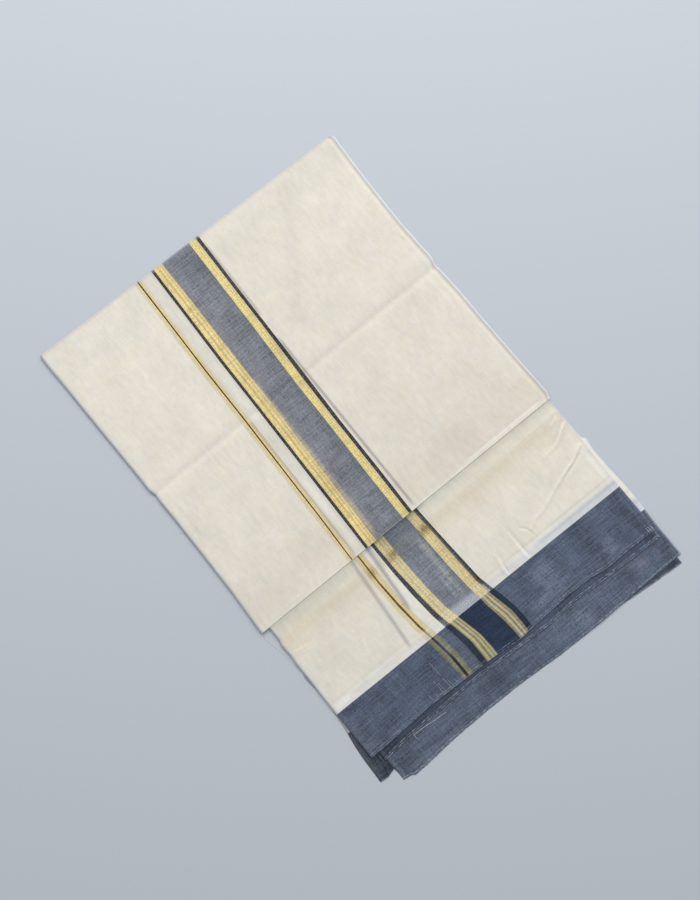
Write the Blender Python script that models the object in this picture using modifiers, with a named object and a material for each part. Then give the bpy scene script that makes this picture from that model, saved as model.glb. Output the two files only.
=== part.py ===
"""A folded dhoti: one length of striped cotton, folded in half across its width and then
in half along its length, so that four layers lie flat on a table.

The frame is in metres. X runs across the pack, from the four selvages at the left to the
side folds at the right. Y runs along the cloth, with the top fold at +Y and the four cut
ends at -Y. Z is up, and the pack rests on Z = 0.

The four layers are counted from the table: level 0 lies on it, and level 3 is the face.
The side fold joins levels 3 and 2, and levels 1 and 0. The top fold joins 3 and 0 outside,
and 2 and 1 inside.
"""
import math
from collections import namedtuple

import bmesh
import bpy
from mathutils import Vector

# ---- Driving dimensions ------------------------------------------------------------------
CLOTH_WIDTH = 1.27                    # selvage to selvage, before it is folded
PACK_LEFT = -0.3105                   # the selvages' nominal line
PACK_RIGHT = PACK_LEFT + CLOTH_WIDTH / 2
TOP_LEFT = 0.4967                     # the top fold's crest at the selvages
TOP_RIGHT = 0.4714                    # and at the side fold
WALL = 0.0011                         # one layer of cloth
GAP = 0.0003                          # between two layers, and between two pieces
PITCH = WALL + GAP
FACE_LEVEL = 3
FACE_TOP = FACE_LEVEL * PITCH + WALL  # the face's upper side, over flat layers
WRAP_RADIUS = FACE_TOP / 2            # the top fold, outside
WRAP_RETURN = 0.003                   # how far the top fold runs on under the pack
FOLD_RADIUS = WALL + GAP / 2          # a fold of one layer over another, outside
LIP_TOP = FACE_TOP + 2 * PITCH        # the tuck lies two layers higher
LIP_RETURN = 0.009                    # how far the tuck turns back under itself
LIP_RISE = 0.045                      # the length over which the face climbs to the tuck
GROOVE_DEPTH = 0.004                  # how deep the layers part at the pack's edges
LAYER_ROUND = 0.0003                  # the rounding of a hidden layer's edge

# ---- How finely each surface is divided ------------------------------------------------------
RIM_STEPS = 3                         # round the rim at the side fold
WRAP_STEPS = 7                        # round the top fold
LIP_STEPS = 5                         # round the tuck's edge
NOSE_STEPS = 4                        # round the low side fold
UPPER_COLUMNS = 15
BAND_COLUMNS = 30
ROW_STEP = 0.028                      # the longest step between two rows of the upper face
CREASE_STEP = 0.0097                  # and of the lower one, where the creases are
CREASES_FROM_X = 0.055                # the lower face's creases lie to the right of this
WIDE_COLUMN = 0.040
FINE_COLUMN = 0.0105

# ---- Where each layer's sides lie ----------------------------------------------------------
# y is read at the side itself; left and right are measured outward from the nominal lines.
Side = namedtuple("Side", "y left right")

UPPER_SIDES = [
    Side(0.495, 0.0040, -0.0004), Side(0.461, 0.0050, 0.0012), Side(0.408, 0.0052, -0.0017),
    Side(0.338, 0.0056, -0.0038), Side(0.277, 0.0058, -0.0048), Side(0.224, 0.0061, -0.0031),
    Side(0.193, 0.0066, -0.0016), Side(0.179, 0.0031, -0.0058), Side(0.167, 0.0042, -0.0037),
    Side(0.120, 0.0045, -0.0014), Side(0.041, 0.0065, -0.0003), Side(-0.037, 0.0086, 0.0014),
    Side(-0.090, 0.0120, 0.0035), Side(-0.114, 0.0128, 0.0035), Side(-0.126, 0.0129, -0.0006),
]
LOWER_SIDES = [
    Side(-0.100, -0.0026, -0.0014), Side(-0.152, -0.0025, -0.0018), Side(-0.163, 0.0005, -0.0023),
    Side(-0.182, -0.0003, -0.0024), Side(-0.203, 0.0009, -0.0016), Side(-0.245, 0.0015, -0.0035),
    Side(-0.276, 0.0028, -0.0038), Side(-0.320, 0.0035, -0.0038), Side(-0.383, 0.0038, -0.0035),
    Side(-0.430, 0.0042, -0.0042),
]
# The hidden layers' selvages at the left, and at the right the fold of the two lowest ones.
# The second layer's right side follows the face's, a little inside it.
Hidden = namedtuple("Hidden", "y second third fourth low_fold")
HIDDEN_SIDES = [
    Hidden(0.470, 0.0035, 0.0025, 0.0030, -0.0010), Hidden(0.408, 0.0035, 0.0025, 0.0030, -0.0028),
    Hidden(0.338, 0.0035, 0.0025, 0.0032, -0.0048), Hidden(0.277, 0.0030, 0.0025, 0.0030, -0.0058),
    Hidden(0.224, 0.0030, 0.0020, 0.0030, -0.0042), Hidden(0.193, 0.0030, 0.0020, 0.0030, -0.0027),
    Hidden(0.179, 0.0010, 0.0005, 0.0012, -0.0066), Hidden(0.167, 0.0020, 0.0015, 0.0020, -0.0048),
    Hidden(0.120, 0.0025, 0.0015, 0.0022, -0.0025), Hidden(0.041, 0.0025, 0.0015, 0.0025, -0.0013),
    Hidden(-0.037, 0.0020, 0.0010, 0.0020, 0.0004), Hidden(-0.100, 0.0005, -0.0005, 0.0000, 0.0020),
    Hidden(-0.128, -0.0036, -0.0040, -0.0037, -0.0018),
    Hidden(-0.182, -0.0036, -0.0042, -0.0038, -0.0018),
    Hidden(-0.203, -0.0030, -0.0040, -0.0030, -0.0009),
    Hidden(-0.215, -0.0030, -0.0040, -0.0018, 0.0022),
    Hidden(-0.224, -0.0030, -0.0040, 0.0040, 0.0056),
    Hidden(-0.231, -0.0030, -0.0040, 0.0065, 0.0044),
    Hidden(-0.245, -0.0025, -0.0040, 0.0062, 0.0026),
    Hidden(-0.276, -0.0020, -0.0040, 0.0031, 0.0033),
    Hidden(-0.320, -0.0035, -0.0045, 0.0063, 0.0052),
    Hidden(-0.350, -0.0050, -0.0050, 0.0098, 0.0066),
    Hidden(-0.383, -0.0070, -0.0080, 0.0152, 0.0058),
    Hidden(-0.412, -0.0091, -0.0141, 0.0178, 0.0047),
    Hidden(-0.459, -0.0100, -0.0141, 0.0202, 0.0046),
    Hidden(-0.500, -0.0100, -0.0141, 0.0202, 0.0056),
]
LAST_STEP_Y = -0.478                  # here the fourth layer's right side steps in
LAST_STEP_LENGTH = 0.004
LAST_STEP = -0.0036                   # to this far from the nominal line
FOLD_INSET = 0.0018                   # a lower layer starts this far inside its fold's rim

# ---- How far a weft line falls from the left side to the right one --------------------------
Slant = namedtuple("Slant", "y drop")
WEFT_SLANT = [
    Slant(TOP_LEFT, TOP_LEFT - TOP_RIGHT), Slant(0.181, 0.0052), Slant(-0.1225, 0.0030),
    Slant(-0.3168, 0.0066), Slant(-0.5, 0.0080),
]
LIP_Y = -0.1225                       # the tuck's edge at the left side
BAND_Y = -0.3168                      # where the face's dark end band starts, at the left
SECOND_BAND_Y = -0.3300               # the same on the hidden layers
THIRD_BAND_LEFT = -0.3562
THIRD_BAND_RIGHT = -0.3830

# ---- The four cut ends, each a wavering line -------------------------------------------------
End = namedtuple("End", "x y")
FIRST_END = [
    End(-0.315, -0.4136), End(-0.258, -0.4115), End(-0.180, -0.4079), End(-0.101, -0.4107),
    End(-0.031, -0.4138), End(0.018, -0.4185), End(0.047, -0.4159), End(0.131, -0.4124),
    End(0.180, -0.4141), End(0.213, -0.4194), End(0.265, -0.4185), End(0.321, -0.4211),
]
SECOND_END = [
    End(-0.301, -0.4344), End(-0.279, -0.4304), End(-0.232, -0.4272), End(-0.136, -0.4246),
    End(-0.075, -0.4237), End(-0.040, -0.4272), End(0.021, -0.4299), End(0.077, -0.4325),
    End(0.136, -0.4290), End(0.208, -0.4333), End(0.265, -0.4354), End(0.321, -0.4363),
]
THIRD_END = [
    End(-0.297, -0.4798), End(-0.279, -0.4813), End(-0.275, -0.4850), End(-0.232, -0.4826),
    End(-0.179, -0.4787), End(-0.101, -0.4778), End(-0.040, -0.4783), End(0.021, -0.4815),
    End(0.056, -0.4839), End(0.143, -0.4848), End(0.213, -0.4839), End(0.265, -0.4827),
    End(0.330, -0.4818),
]
FOURTH_END = [
    End(-0.331, -0.4583), End(-0.315, -0.4595), End(-0.297, -0.4548), End(0.213, -0.4848),
    End(0.265, -0.4918), End(0.292, -0.4939), End(0.321, -0.4962),
]

# ---- The large folds that stand up from the face ---------------------------------------------
# Each runs straight from its first point to its second; height is at the crest, and width is
# the distance in which it falls to about a third. A negative height is a trough.
Fold = namedtuple("Fold", "x0 y0 x1 y1 height width")
UPPER_FOLDS = [
    Fold(-0.340, 0.1815, 0.340, 0.1757, -0.0010, 0.0075),
    Fold(-0.340, 0.1990, 0.340, 0.1930, 0.0006, 0.0140),
    Fold(-0.340, 0.1640, 0.340, 0.1585, 0.0006, 0.0140),
]
LOWER_FOLDS = [
    Fold(0.321, -0.1768, 0.2915, -0.1929, 0.0016, 0.0065),
    Fold(0.2915, -0.1929, 0.2300, -0.2040, 0.0013, 0.0060),
    Fold(0.321, -0.2239, 0.2880, -0.2379, 0.0018, 0.0070),
    Fold(0.2880, -0.2379, 0.1519, -0.2903, 0.0013, 0.0060),
    Fold(0.1519, -0.2730, 0.1580, -0.2930, 0.0010, 0.0050),
    Fold(0.0770, -0.2750, 0.0690, -0.3300, 0.0014, 0.0050),
    Fold(0.1223, -0.2700, 0.1223, -0.3300, 0.0016, 0.0050),
    Fold(-0.320, -0.1840, -0.2690, -0.2010, 0.0009, 0.0050),
    Fold(-0.200, -0.1600, 0.300, -0.1560, 0.0005, 0.0100),
]
UPPER_BASE = 0.0006                   # the face stands this much higher, so a trough has room
BASE_EASE = 0.06                      # the length over which it does so, from the top fold
TUCK_CLEAR = 0.006                    # the lower face stays flat this far out of the tuck
FOLD_EASE = 0.012                     # and its creases grow in over this length
BAND_EASE = 0.030                     # they die away over this length of the end band
END_LIFT = 0.0012                     # the most that the loose ends lift, on the face
END_LIFT_FROM = -0.345
END_LIFT_FULL = -0.440
LEVEL_LIFT = (0.0, 0.35, 0.70, 1.0)   # each level's share of it
BEND_MARGIN = 0.005                   # the least cloth between a band's bend and its end
OVERHANG_EASE = 0.010                 # the overhang at which the third layer reaches the table

# ---- Colours of the finished cloth -------------------------------------------------------------
CREAM_COTTON = (0.74, 0.70, 0.61, 1.0)
GREY_BLUE_BAND = (0.095, 0.12, 0.16, 1.0)
COTTON_ROUGHNESS = 0.9


def smooth(value):
    """Ease from 0 to 1."""
    value = min(max(value, 0.0), 1.0)
    return value * value * (3 - 2 * value)


def read(rows, key, column, at):
    """Read a column of a table between its rows, whose key falls or rises down the table."""
    for near, far in zip(rows, rows[1:]):
        start, stop = getattr(near, key), getattr(far, key)
        if min(start, stop) <= at <= max(start, stop):
            share = (at - start) / (stop - start)
            return getattr(near, column) * (1 - share) + getattr(far, column) * share
    nearest = min(rows, key=lambda row: abs(getattr(row, key) - at))
    return getattr(nearest, column)


def weft_right(y_left):
    """The height on the right side of the weft line that starts at y_left."""
    return y_left - read(WEFT_SLANT, "y", "drop", y_left)


def weft_y(y_left, y_right, x):
    """The height at x of the straight weft line between the pack's two nominal sides."""
    return y_left + (y_right - y_left) * (x - PACK_LEFT) / (PACK_RIGHT - PACK_LEFT)


def face_sides(y_left, y_right, table=None):
    """The left and right X of a row of the face between those two heights."""
    table = table or (UPPER_SIDES if y_left > LIP_Y else LOWER_SIDES)
    left = PACK_LEFT - read(table, "y", "left", y_left)
    right = PACK_RIGHT + read(table, "y", "right", y_right)
    return left, right


def second_sides(y_left, y_right):
    """The second layer keeps inside the face, and inside the lower face under the tuck."""
    left = PACK_LEFT - read(HIDDEN_SIDES, "y", "second", y_left)
    table = UPPER_SIDES if y_left > LIP_Y + LIP_RISE else LOWER_SIDES
    return left, face_sides(y_left, y_right, table)[1] - FOLD_INSET


def third_sides(y_left, y_right):
    """The third layer runs to the low side fold."""
    left = PACK_LEFT - read(HIDDEN_SIDES, "y", "third", y_left)
    return left, PACK_RIGHT + read(HIDDEN_SIDES, "y", "low_fold", y_right)


def fourth_sides(y_left, y_right):
    """The fourth layer keeps inside the low side fold, and steps in past its end."""
    left = PACK_LEFT - read(HIDDEN_SIDES, "y", "fourth", y_left)
    right = third_sides(y_left, y_right)[1] - FOLD_INSET
    step = smooth((LAST_STEP_Y - y_right) / LAST_STEP_LENGTH)
    return left, right * (1 - step) + (PACK_RIGHT + LAST_STEP) * step


def end_lift(x, y, level):
    """How much a level's loose end stands off the layers below."""
    along = smooth((END_LIFT_FROM - y) / (END_LIFT_FROM - END_LIFT_FULL))
    across = 0.5 + 0.3 * math.sin(27 * x + 0.6) + 0.2 * math.sin(61 * x + 2.0)
    return END_LIFT * LEVEL_LIFT[level] * along * across


def fold_height(folds, x, y):
    """The highest ridge and the deepest trough at a point of the face, together."""
    ridge = trough = 0.0
    for fold in folds:
        run = Vector((fold.x1 - fold.x0, fold.y1 - fold.y0))
        offset = Vector((x - fold.x0, y - fold.y0))
        share = min(max(offset.dot(run) / run.length_squared, 0.0), 1.0)
        distance = (offset - run * share).length
        height = fold.height * math.exp(-(distance / fold.width) ** 2)
        ridge, trough = max(ridge, height), min(trough, height)
    return ridge + trough


def finish(name, colour):
    """A plain cotton material."""
    material = bpy.data.materials.new(name)
    material.use_nodes = True
    shader = material.node_tree.nodes["Principled BSDF"]
    shader.inputs["Base Color"].default_value = colour
    shader.inputs["Roughness"].default_value = COTTON_ROUGHNESS
    shader.inputs["Metallic"].default_value = 0.0
    material.diffuse_color = colour
    return material


def add_object(name, bm, colour, collection):
    """Turn a bmesh into a named, smooth-shaded object with its own material."""
    mesh = bpy.data.meshes.new(name)
    bm.to_mesh(mesh)
    bm.free()
    mesh.shade_smooth()
    piece = bpy.data.objects.new(name, mesh)
    piece.data.materials.append(finish(name + "_cotton", colour))
    collection.objects.link(piece)
    return piece


def add_wall(name, rows, colour, collection):
    """Shape a grid through the rows of outer points, and give it the cloth's thickness."""
    bm = bmesh.new()
    columns, count = len(rows[0]) - 1, len(rows) - 1
    bmesh.ops.create_grid(bm, x_segments=columns, y_segments=count, size=0.5)
    for vertex in bm.verts:
        column = round((vertex.co.x + 0.5) * columns)
        row = count - round((vertex.co.y + 0.5) * count)
        vertex.co = rows[row][column]
    piece = add_object(name, bm, colour, collection)
    thickness = piece.modifiers.new("cloth thickness", "SOLIDIFY")
    thickness.thickness = WALL
    thickness.offset = -1.0
    thickness.use_even_offset = True
    thickness.use_quality_normals = True
    return piece


def add_loft(name, rings, colour, collection):
    """Join closed rings of points, one after another, and close both ends."""
    bm = bmesh.new()
    loops = [[bm.verts.new(point) for point in ring] for ring in rings]
    for near, far in zip(loops, loops[1:]):
        for index in range(len(near)):
            after = (index + 1) % len(near)
            bm.faces.new((near[index], near[after], far[after], far[index]))
    bm.faces.new(loops[0])
    bm.faces.new(loops[-1])
    bmesh.ops.recalc_face_normals(bm, faces=bm.faces)
    return add_object(name, bm, colour, collection)


def rim_points(edge, normal, bend):
    """The rolled rim at the side fold: RIM_STEPS + 1 points that end at the edge's X.

    edge is the point where a flat wall would end; bend is 1 for a full quarter turn
    towards the inside and 0 for none.
    """
    length = FOLD_RADIUS * math.pi / 2
    if bend < 0.01:
        return [edge - Vector((length * (1 - step / RIM_STEPS), 0, 0))
                for step in range(RIM_STEPS + 1)]
    radius = FOLD_RADIUS / bend
    reach = radius * math.sin(length / radius)
    start = edge - Vector((reach, 0, 0))
    points = []
    for step in range(RIM_STEPS + 1):
        angle = length / radius * step / RIM_STEPS
        along = Vector((radius * math.sin(angle), 0, 0))
        points.append(start + along - normal * radius * (1 - math.cos(angle)))
    return points


def wall_row(table, y_left, y_right, columns, place, bend):
    """One row of outer points. place(x, y) gives each point and its outward direction."""
    left, right = face_sides(y_left, y_right, table)
    rim_edge, rim_normal = place(right, weft_y(y_left, y_right, right))
    rim = rim_points(rim_edge, rim_normal, bend)
    row = []
    for share in columns[:-1]:
        x = left + (rim[0].x - left) * share
        row.append(place(x, weft_y(y_left, y_right, x))[0])
    return row + rim


def steps_between(start, stop, longest):
    """Evenly spaced values from start to stop, no further apart than longest."""
    count = max(1, math.ceil(abs(stop - start) / longest))
    return [start + (stop - start) * index / count for index in range(count + 1)]


def upper_rows():
    """The weft lines, at the left side, on which the upper layers are shaped."""
    marks = [TOP_LEFT - 0.010, 0.205, 0.1915, 0.181, 0.1705, 0.158, LIP_Y + LIP_RISE,
             LIP_Y + FOLD_RADIUS]
    rows = []
    for start, stop in zip(marks, marks[1:]):
        rows += steps_between(start, stop, ROW_STEP)[:-1]
    return rows


def face_rise(y):
    """How much the upper stretch climbs as it nears the tuck."""
    return (LIP_TOP - FACE_TOP - UPPER_BASE) * smooth((LIP_Y + LIP_RISE - y) / LIP_RISE)


def upper_stretch(collection):
    """The face from the top fold to the tuck: one wall that wraps both."""
    columns = [index / UPPER_COLUMNS for index in range(UPPER_COLUMNS + 1)]
    up = Vector((0, 0, 1))
    rows = []
    # The top fold, from the table round to the face.
    for step in range(-1, WRAP_STEPS + 1):
        angle = math.pi * (max(step, 0) / WRAP_STEPS - 0.5)
        under = WRAP_RETURN if step < 0 else 0.0
        outward = Vector((0, math.cos(angle), math.sin(angle)))

        def on_wrap(x, y):
            centre = Vector((x, y - WRAP_RADIUS - under, WRAP_RADIUS))
            return centre + outward * WRAP_RADIUS, outward

        bend = smooth(step / WRAP_STEPS * 2)
        rows.append(wall_row(UPPER_SIDES, TOP_LEFT, TOP_RIGHT, columns, on_wrap, bend))

    def on_face(x, y):
        from_top = smooth((TOP_LEFT - WRAP_RADIUS - y) / BASE_EASE)
        height = FACE_TOP + UPPER_BASE * from_top + face_rise(y) + fold_height(UPPER_FOLDS, x, y)
        return Vector((x, y, height)), up

    for y_left in upper_rows():
        rows.append(wall_row(UPPER_SIDES, y_left, weft_right(y_left), columns, on_face, 1.0))

    # The tuck's edge turns down and back under itself.
    lip_right = weft_right(LIP_Y)
    for step in range(LIP_STEPS + 2):
        angle = math.pi * (0.5 - min(step, LIP_STEPS) / LIP_STEPS)
        back = LIP_RETURN if step > LIP_STEPS else 0.0
        outward = Vector((0, -math.cos(angle), math.sin(angle)))

        def on_lip(x, y):
            centre = Vector((x, y + FOLD_RADIUS + back, LIP_TOP - FOLD_RADIUS))
            return centre + outward * FOLD_RADIUS, outward

        bend = 1 - smooth(step / LIP_STEPS)
        rows.append(wall_row(UPPER_SIDES, LIP_Y, lip_right, columns, on_lip, bend))
    return add_wall("upper_stretch", rows, CREAM_COTTON, collection)


def lower_columns():
    """Shares across the lower face: wide steps at the left, fine ones over the creases."""
    width = PACK_RIGHT - PACK_LEFT
    wide = steps_between(PACK_LEFT, CREASES_FROM_X, WIDE_COLUMN)
    fine = steps_between(CREASES_FROM_X, PACK_RIGHT, FINE_COLUMN)
    return [(x - PACK_LEFT) / width for x in wide[:-1] + fine]


def on_lower_face(x, y):
    """The lower face, flat where it lies under the tuck and in step with the end band."""
    clear = smooth((LIP_Y - TUCK_CLEAR - y) / FOLD_EASE)
    height = FACE_TOP + fold_height(LOWER_FOLDS, x, y) * clear + end_lift(x, y, FACE_LEVEL)
    return Vector((x, y, height)), Vector((0, 0, 1))


def lower_rows():
    """The weft lines, at the left side, on which the lower face is shaped."""
    clear = LIP_Y - TUCK_CLEAR - FOLD_EASE
    under_tuck = steps_between(LIP_Y + FOLD_RADIUS + LIP_RETURN, clear, 2 * CREASE_STEP)
    return under_tuck[:-1] + steps_between(clear, BAND_Y + GAP, CREASE_STEP)


def lower_stretch(collection):
    """The face from under the tuck to the end band, with the loose creases."""
    rows = []
    for y_left in lower_rows():
        y_right = weft_right(y_left)
        rows.append(wall_row(LOWER_SIDES, y_left, y_right, lower_columns(), on_lower_face, 1.0))
    return add_wall("lower_stretch", rows, CREAM_COTTON, collection)


def third_bend(x):
    """The line where the third layer dips to the table, past the fourth one's shorter end."""
    end = read(THIRD_END, "x", "y", x)
    return max(read(FOURTH_END, "x", "y", x) - 0.001, end + BEND_MARGIN)


def third_sag(x, y):
    """How far the third layer has sunk past that line, as a share of a layer's pitch."""
    bend, end = third_bend(x), read(THIRD_END, "x", "y", x)
    hang = smooth((bend - end - BEND_MARGIN) / OVERHANG_EASE)
    return hang * smooth((bend - y) / (bend - end))


def near_end(end):
    """A line just short of a cut end, for the layers that lie flat to their ends."""
    return lambda x: read(end, "x", "y", x) + BEND_MARGIN


def end_band(name, sides, level, start, end, bend_line, row_count, rim, columns, collection):
    """One layer's end band, from a weft line by way of a bend to its cut end."""
    base = level * PITCH + WALL

    def on_band(x, y):
        height = base + end_lift(x, y, level)
        if level == FACE_LEVEL:
            clear = smooth((y - BAND_Y + BAND_EASE) / BAND_EASE)
            height += fold_height(LOWER_FOLDS, x, y) * clear
        if level == 1:
            height -= PITCH * third_sag(x, y)
        return Vector((x, y, height)), Vector((0, 0, 1))

    start_left, start_right = start
    shares = [(index / row_count, 0.0) for index in range(row_count)]
    shares += [(1.0, index / 2) for index in range(3)]
    rows = []
    for before, past in shares:

        def line_y(x):
            begin, bend = weft_y(start_left, start_right, x), bend_line(x)
            return begin + (bend - begin) * before + (read(end, "x", "y", x) - bend) * past

        left, right = sides(line_y(PACK_LEFT), line_y(PACK_RIGHT))
        edge, up = on_band(right, line_y(right))
        turned = rim_points(edge, up, rim)
        row = []
        for column in columns[:-1]:
            x = left + (turned[0].x - left) * column
            row.append(on_band(x, line_y(x))[0])
        rows.append(row + turned)
    return add_wall(name, rows, GREY_BLUE_BAND, collection)


def layer_edge(x, bottom, inward):
    """A rounded layer edge of four points, from its lower side to its upper one."""
    inset = x + inward * LAYER_ROUND
    return [(inset, bottom), (x, bottom + LAYER_ROUND), (x, bottom + WALL - LAYER_ROUND),
            (inset, bottom + WALL)]


def groove(x, below):
    """The two points at the bottom of the groove above a layer whose top is at below."""
    return [(x, below), (x, below + GAP)]


def layered_section(y_left, y_right, with_second):
    """A closed section through the hidden layers, anticlockwise from the lower left."""
    left0 = fourth_sides(y_left, y_right)[0]
    left1, right0 = third_sides(y_left, y_right)
    left2, right2 = second_sides(y_left, y_right)
    # The side fold that joins the fourth layer to the third.
    section = []
    for step in range(NOSE_STEPS + 1):
        angle = math.pi * (step / NOSE_STEPS - 0.5)
        section.append((right0 - FOLD_RADIUS * (1 - math.cos(angle)),
                        FOLD_RADIUS * (1 + math.sin(angle))))
    if with_second:
        section += groove(right2 - GROOVE_DEPTH, PITCH + WALL)
        section += layer_edge(right2, 2 * PITCH, -1)
        section += reversed(layer_edge(left2, 2 * PITCH, 1))
        section += reversed(groove(max(left2, left1) + GROOVE_DEPTH, PITCH + WALL))
    section += reversed(layer_edge(left1, PITCH, 1))
    section += reversed(groove(max(left1, left0) + GROOVE_DEPTH, WALL))
    section += reversed(layer_edge(left0, 0, 1))
    return [Vector((x, weft_y(y_left, y_right, x), z)) for x, z in section]


def folded_layers(collection):
    """The three hidden layers as one solid, parted at its edges, down to the second band."""
    start = WRAP_RADIUS + WRAP_RETURN + GAP
    rings = [layered_section(TOP_LEFT - start, TOP_RIGHT - start, True)]
    stations = [y for y in upper_rows() if y > LIP_Y + LIP_RISE / 2]
    stations += [y for y in lower_rows() if y > SECOND_BAND_Y + 0.004]
    stations += [SECOND_BAND_Y + GAP]
    for y_left in stations:
        rings.append(layered_section(y_left, weft_right(y_left), True))
    return add_loft("folded_layers", rings, CREAM_COTTON, collection)


def lower_fold(collection):
    """The two lowest layers, still cream, from the second band to their own bands."""
    rings = []
    for index in range(4):
        share = index / 3
        y_left = SECOND_BAND_Y + (THIRD_BAND_LEFT + GAP - SECOND_BAND_Y) * share
        y_right = weft_right(SECOND_BAND_Y)
        y_right += (THIRD_BAND_RIGHT + GAP - y_right) * share
        rings.append(layered_section(y_left, y_right, False))
    return add_loft("lower_fold", rings, CREAM_COTTON, collection)


def main():
    for leftover in list(bpy.data.objects):
        bpy.data.objects.remove(leftover)
    dhoti = bpy.data.collections.new("folded_dhoti")
    bpy.context.scene.collection.children.link(dhoti)
    upper_stretch(dhoti)
    lower_stretch(dhoti)
    folded_layers(dhoti)
    lower_fold(dhoti)
    even = [index / BAND_COLUMNS for index in range(BAND_COLUMNS + 1)]
    end_band("top_end_band", face_sides, 3, (BAND_Y, weft_right(BAND_Y)), FIRST_END,
             near_end(FIRST_END), 5, 1.0, lower_columns(), dhoti)
    end_band("second_end_band", second_sides, 2, (SECOND_BAND_Y, weft_right(SECOND_BAND_Y)),
             SECOND_END, near_end(SECOND_END), 3, 0.0, even, dhoti)
    low_start = (THIRD_BAND_LEFT, THIRD_BAND_RIGHT)
    end_band("third_end_band", third_sides, 1, low_start, THIRD_END, third_bend, 5, 1.0,
             even, dhoti)
    end_band("fourth_end_band", fourth_sides, 0, low_start, FOURTH_END,
             near_end(FOURTH_END), 4, 0.0, even, dhoti)


main()
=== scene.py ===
# %% [markdown]
# # A folded dhoti
# A dhoti is one length of fine cotton, worn wrapped and tucked. This one has a woven border
# of gold thread and dark cotton, and a dark band at each end of the length. It was folded in
# half along its length, then in half across it, so four layers lie on the table.
# The packed solids fix where each layer lies. Here each layer becomes a thin, creased sheet
# with its own weave, which is what cotton looks like from close by. The first step loads the
# solids as a fixed frame.

# %% load the frame
import math
import random
from collections import namedtuple

import bmesh
import bpy
import numpy as np
from mathutils import Matrix, Vector, noise


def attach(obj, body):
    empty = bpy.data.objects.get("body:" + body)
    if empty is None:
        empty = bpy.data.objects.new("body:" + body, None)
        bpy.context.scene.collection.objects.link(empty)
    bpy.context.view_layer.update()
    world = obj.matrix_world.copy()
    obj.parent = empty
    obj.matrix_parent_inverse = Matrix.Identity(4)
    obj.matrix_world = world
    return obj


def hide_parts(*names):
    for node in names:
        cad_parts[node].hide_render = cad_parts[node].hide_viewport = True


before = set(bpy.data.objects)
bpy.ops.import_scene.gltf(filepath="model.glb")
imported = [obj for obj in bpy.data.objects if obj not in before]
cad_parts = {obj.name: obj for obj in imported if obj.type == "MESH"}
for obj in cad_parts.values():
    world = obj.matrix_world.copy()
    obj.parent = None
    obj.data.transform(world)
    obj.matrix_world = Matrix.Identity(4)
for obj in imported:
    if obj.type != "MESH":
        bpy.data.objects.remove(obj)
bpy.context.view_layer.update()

print("solids:", sorted(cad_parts))

# %% [markdown]
# ## The sizes that everything follows
# X runs across the pack, from the selvages (the woven edges of the length) at the left to the
# folds at the right. Y runs along the cloth, and its cut ends are at -Y. Everything is in
# metres. A real layer is under half a millimetre thick, but loose layers hold air between
# them, so each one has 1.4 mm of height and the thin sheet lies at the top of it.

# %% the main sizes
PACK_LEFT = -0.3105                   # the selvages' nominal line
HALF_WIDTH = 0.635                    # half of the 1.27 m cloth
PACK_RIGHT = PACK_LEFT + HALF_WIDTH
TOP_LEFT, TOP_RIGHT = 0.4967, 0.4714  # the top fold's crest, at the selvages and the side fold
PITCH = 0.0014                        # from one layer to the next
LAYER = 0.0011                        # a layer's loose thickness
SHEET = 0.00045                       # the cloth itself
FACE_TOP = 3 * PITCH + LAYER          # the upper side of the fourth layer up, the face
LIP_TOP = FACE_TOP + 2 * PITCH        # the tuck lies two layers higher
WRAP = FACE_TOP / 2                   # radius of the top fold
INNER_WRAP = WRAP - PITCH             # and of the fold inside it
ROLL = LAYER + 0.00015                # radius of a fold of one layer over the next
LIP_Y = -0.1243                       # the tuck's edge, at the selvage
LIP_RISE = 0.045                      # the face climbs to the tuck over this length,
LIP_PRESS = 0.00155                   # is pressed down by this much along its edge,
LIP_ROLL = 0.0006                     # and turns under with a tighter radius
BAND_Y = -0.3168                      # the dark end band starts here on the face
LOW_BAND_LEFT, LOW_BAND_RIGHT = -0.3562, -0.3830     # and here on the two lowest layers
print("face", FACE_TOP, "tuck", LIP_TOP)

# %% [markdown]
# ## Where the face's sides lie
# Nobody folds cloth dead straight. A table gives the face's sides every few centimetres, as
# the distance outward from the nominal lines, with one table for above the tuck and one for
# below it. Two drawn curves could say the same, but a table is short, and any row can be moved
# by hand without touching the rest.

# %% the face's sides
Side = namedtuple("Side", "y left right")
UPPER_SIDES = [
    Side(0.495, 0.0040, -0.0004), Side(0.470, 0.0047, -0.0022), Side(0.464, 0.0049, 0.0010),
    Side(0.461, 0.0050, 0.0012), Side(0.408, 0.0052, -0.0017),
    Side(0.338, 0.0056, -0.0038), Side(0.277, 0.0058, -0.0048), Side(0.224, 0.0061, -0.0031),
    Side(0.193, 0.0066, -0.0016), Side(0.179, 0.0031, -0.0058), Side(0.167, 0.0042, -0.0037),
    Side(0.120, 0.0045, -0.0014), Side(0.041, 0.0065, -0.0003), Side(-0.037, 0.0086, 0.0014),
    Side(-0.090, 0.0120, 0.0035), Side(-0.116, 0.0128, 0.0035), Side(-0.128, 0.0129, -0.0006),
]
LOWER_SIDES = [
    Side(-0.100, -0.0026, -0.0014), Side(-0.152, -0.0025, -0.0018), Side(-0.163, 0.0005, -0.0024),
    Side(-0.1700, 0.0002, -0.0036), Side(-0.1755, 0.0000, -0.0014), Side(-0.184, -0.0002, -0.0034),
    Side(-0.203, 0.0009, -0.0016), Side(-0.245, 0.0015, -0.0035),
    Side(-0.276, 0.0028, -0.0038), Side(-0.320, 0.0035, -0.0038), Side(-0.383, 0.0038, -0.0035),
    Side(-0.430, 0.0042, -0.0042),
]
print("rows of the face's sides:", len(UPPER_SIDES), "above and", len(LOWER_SIDES), "below")

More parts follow.
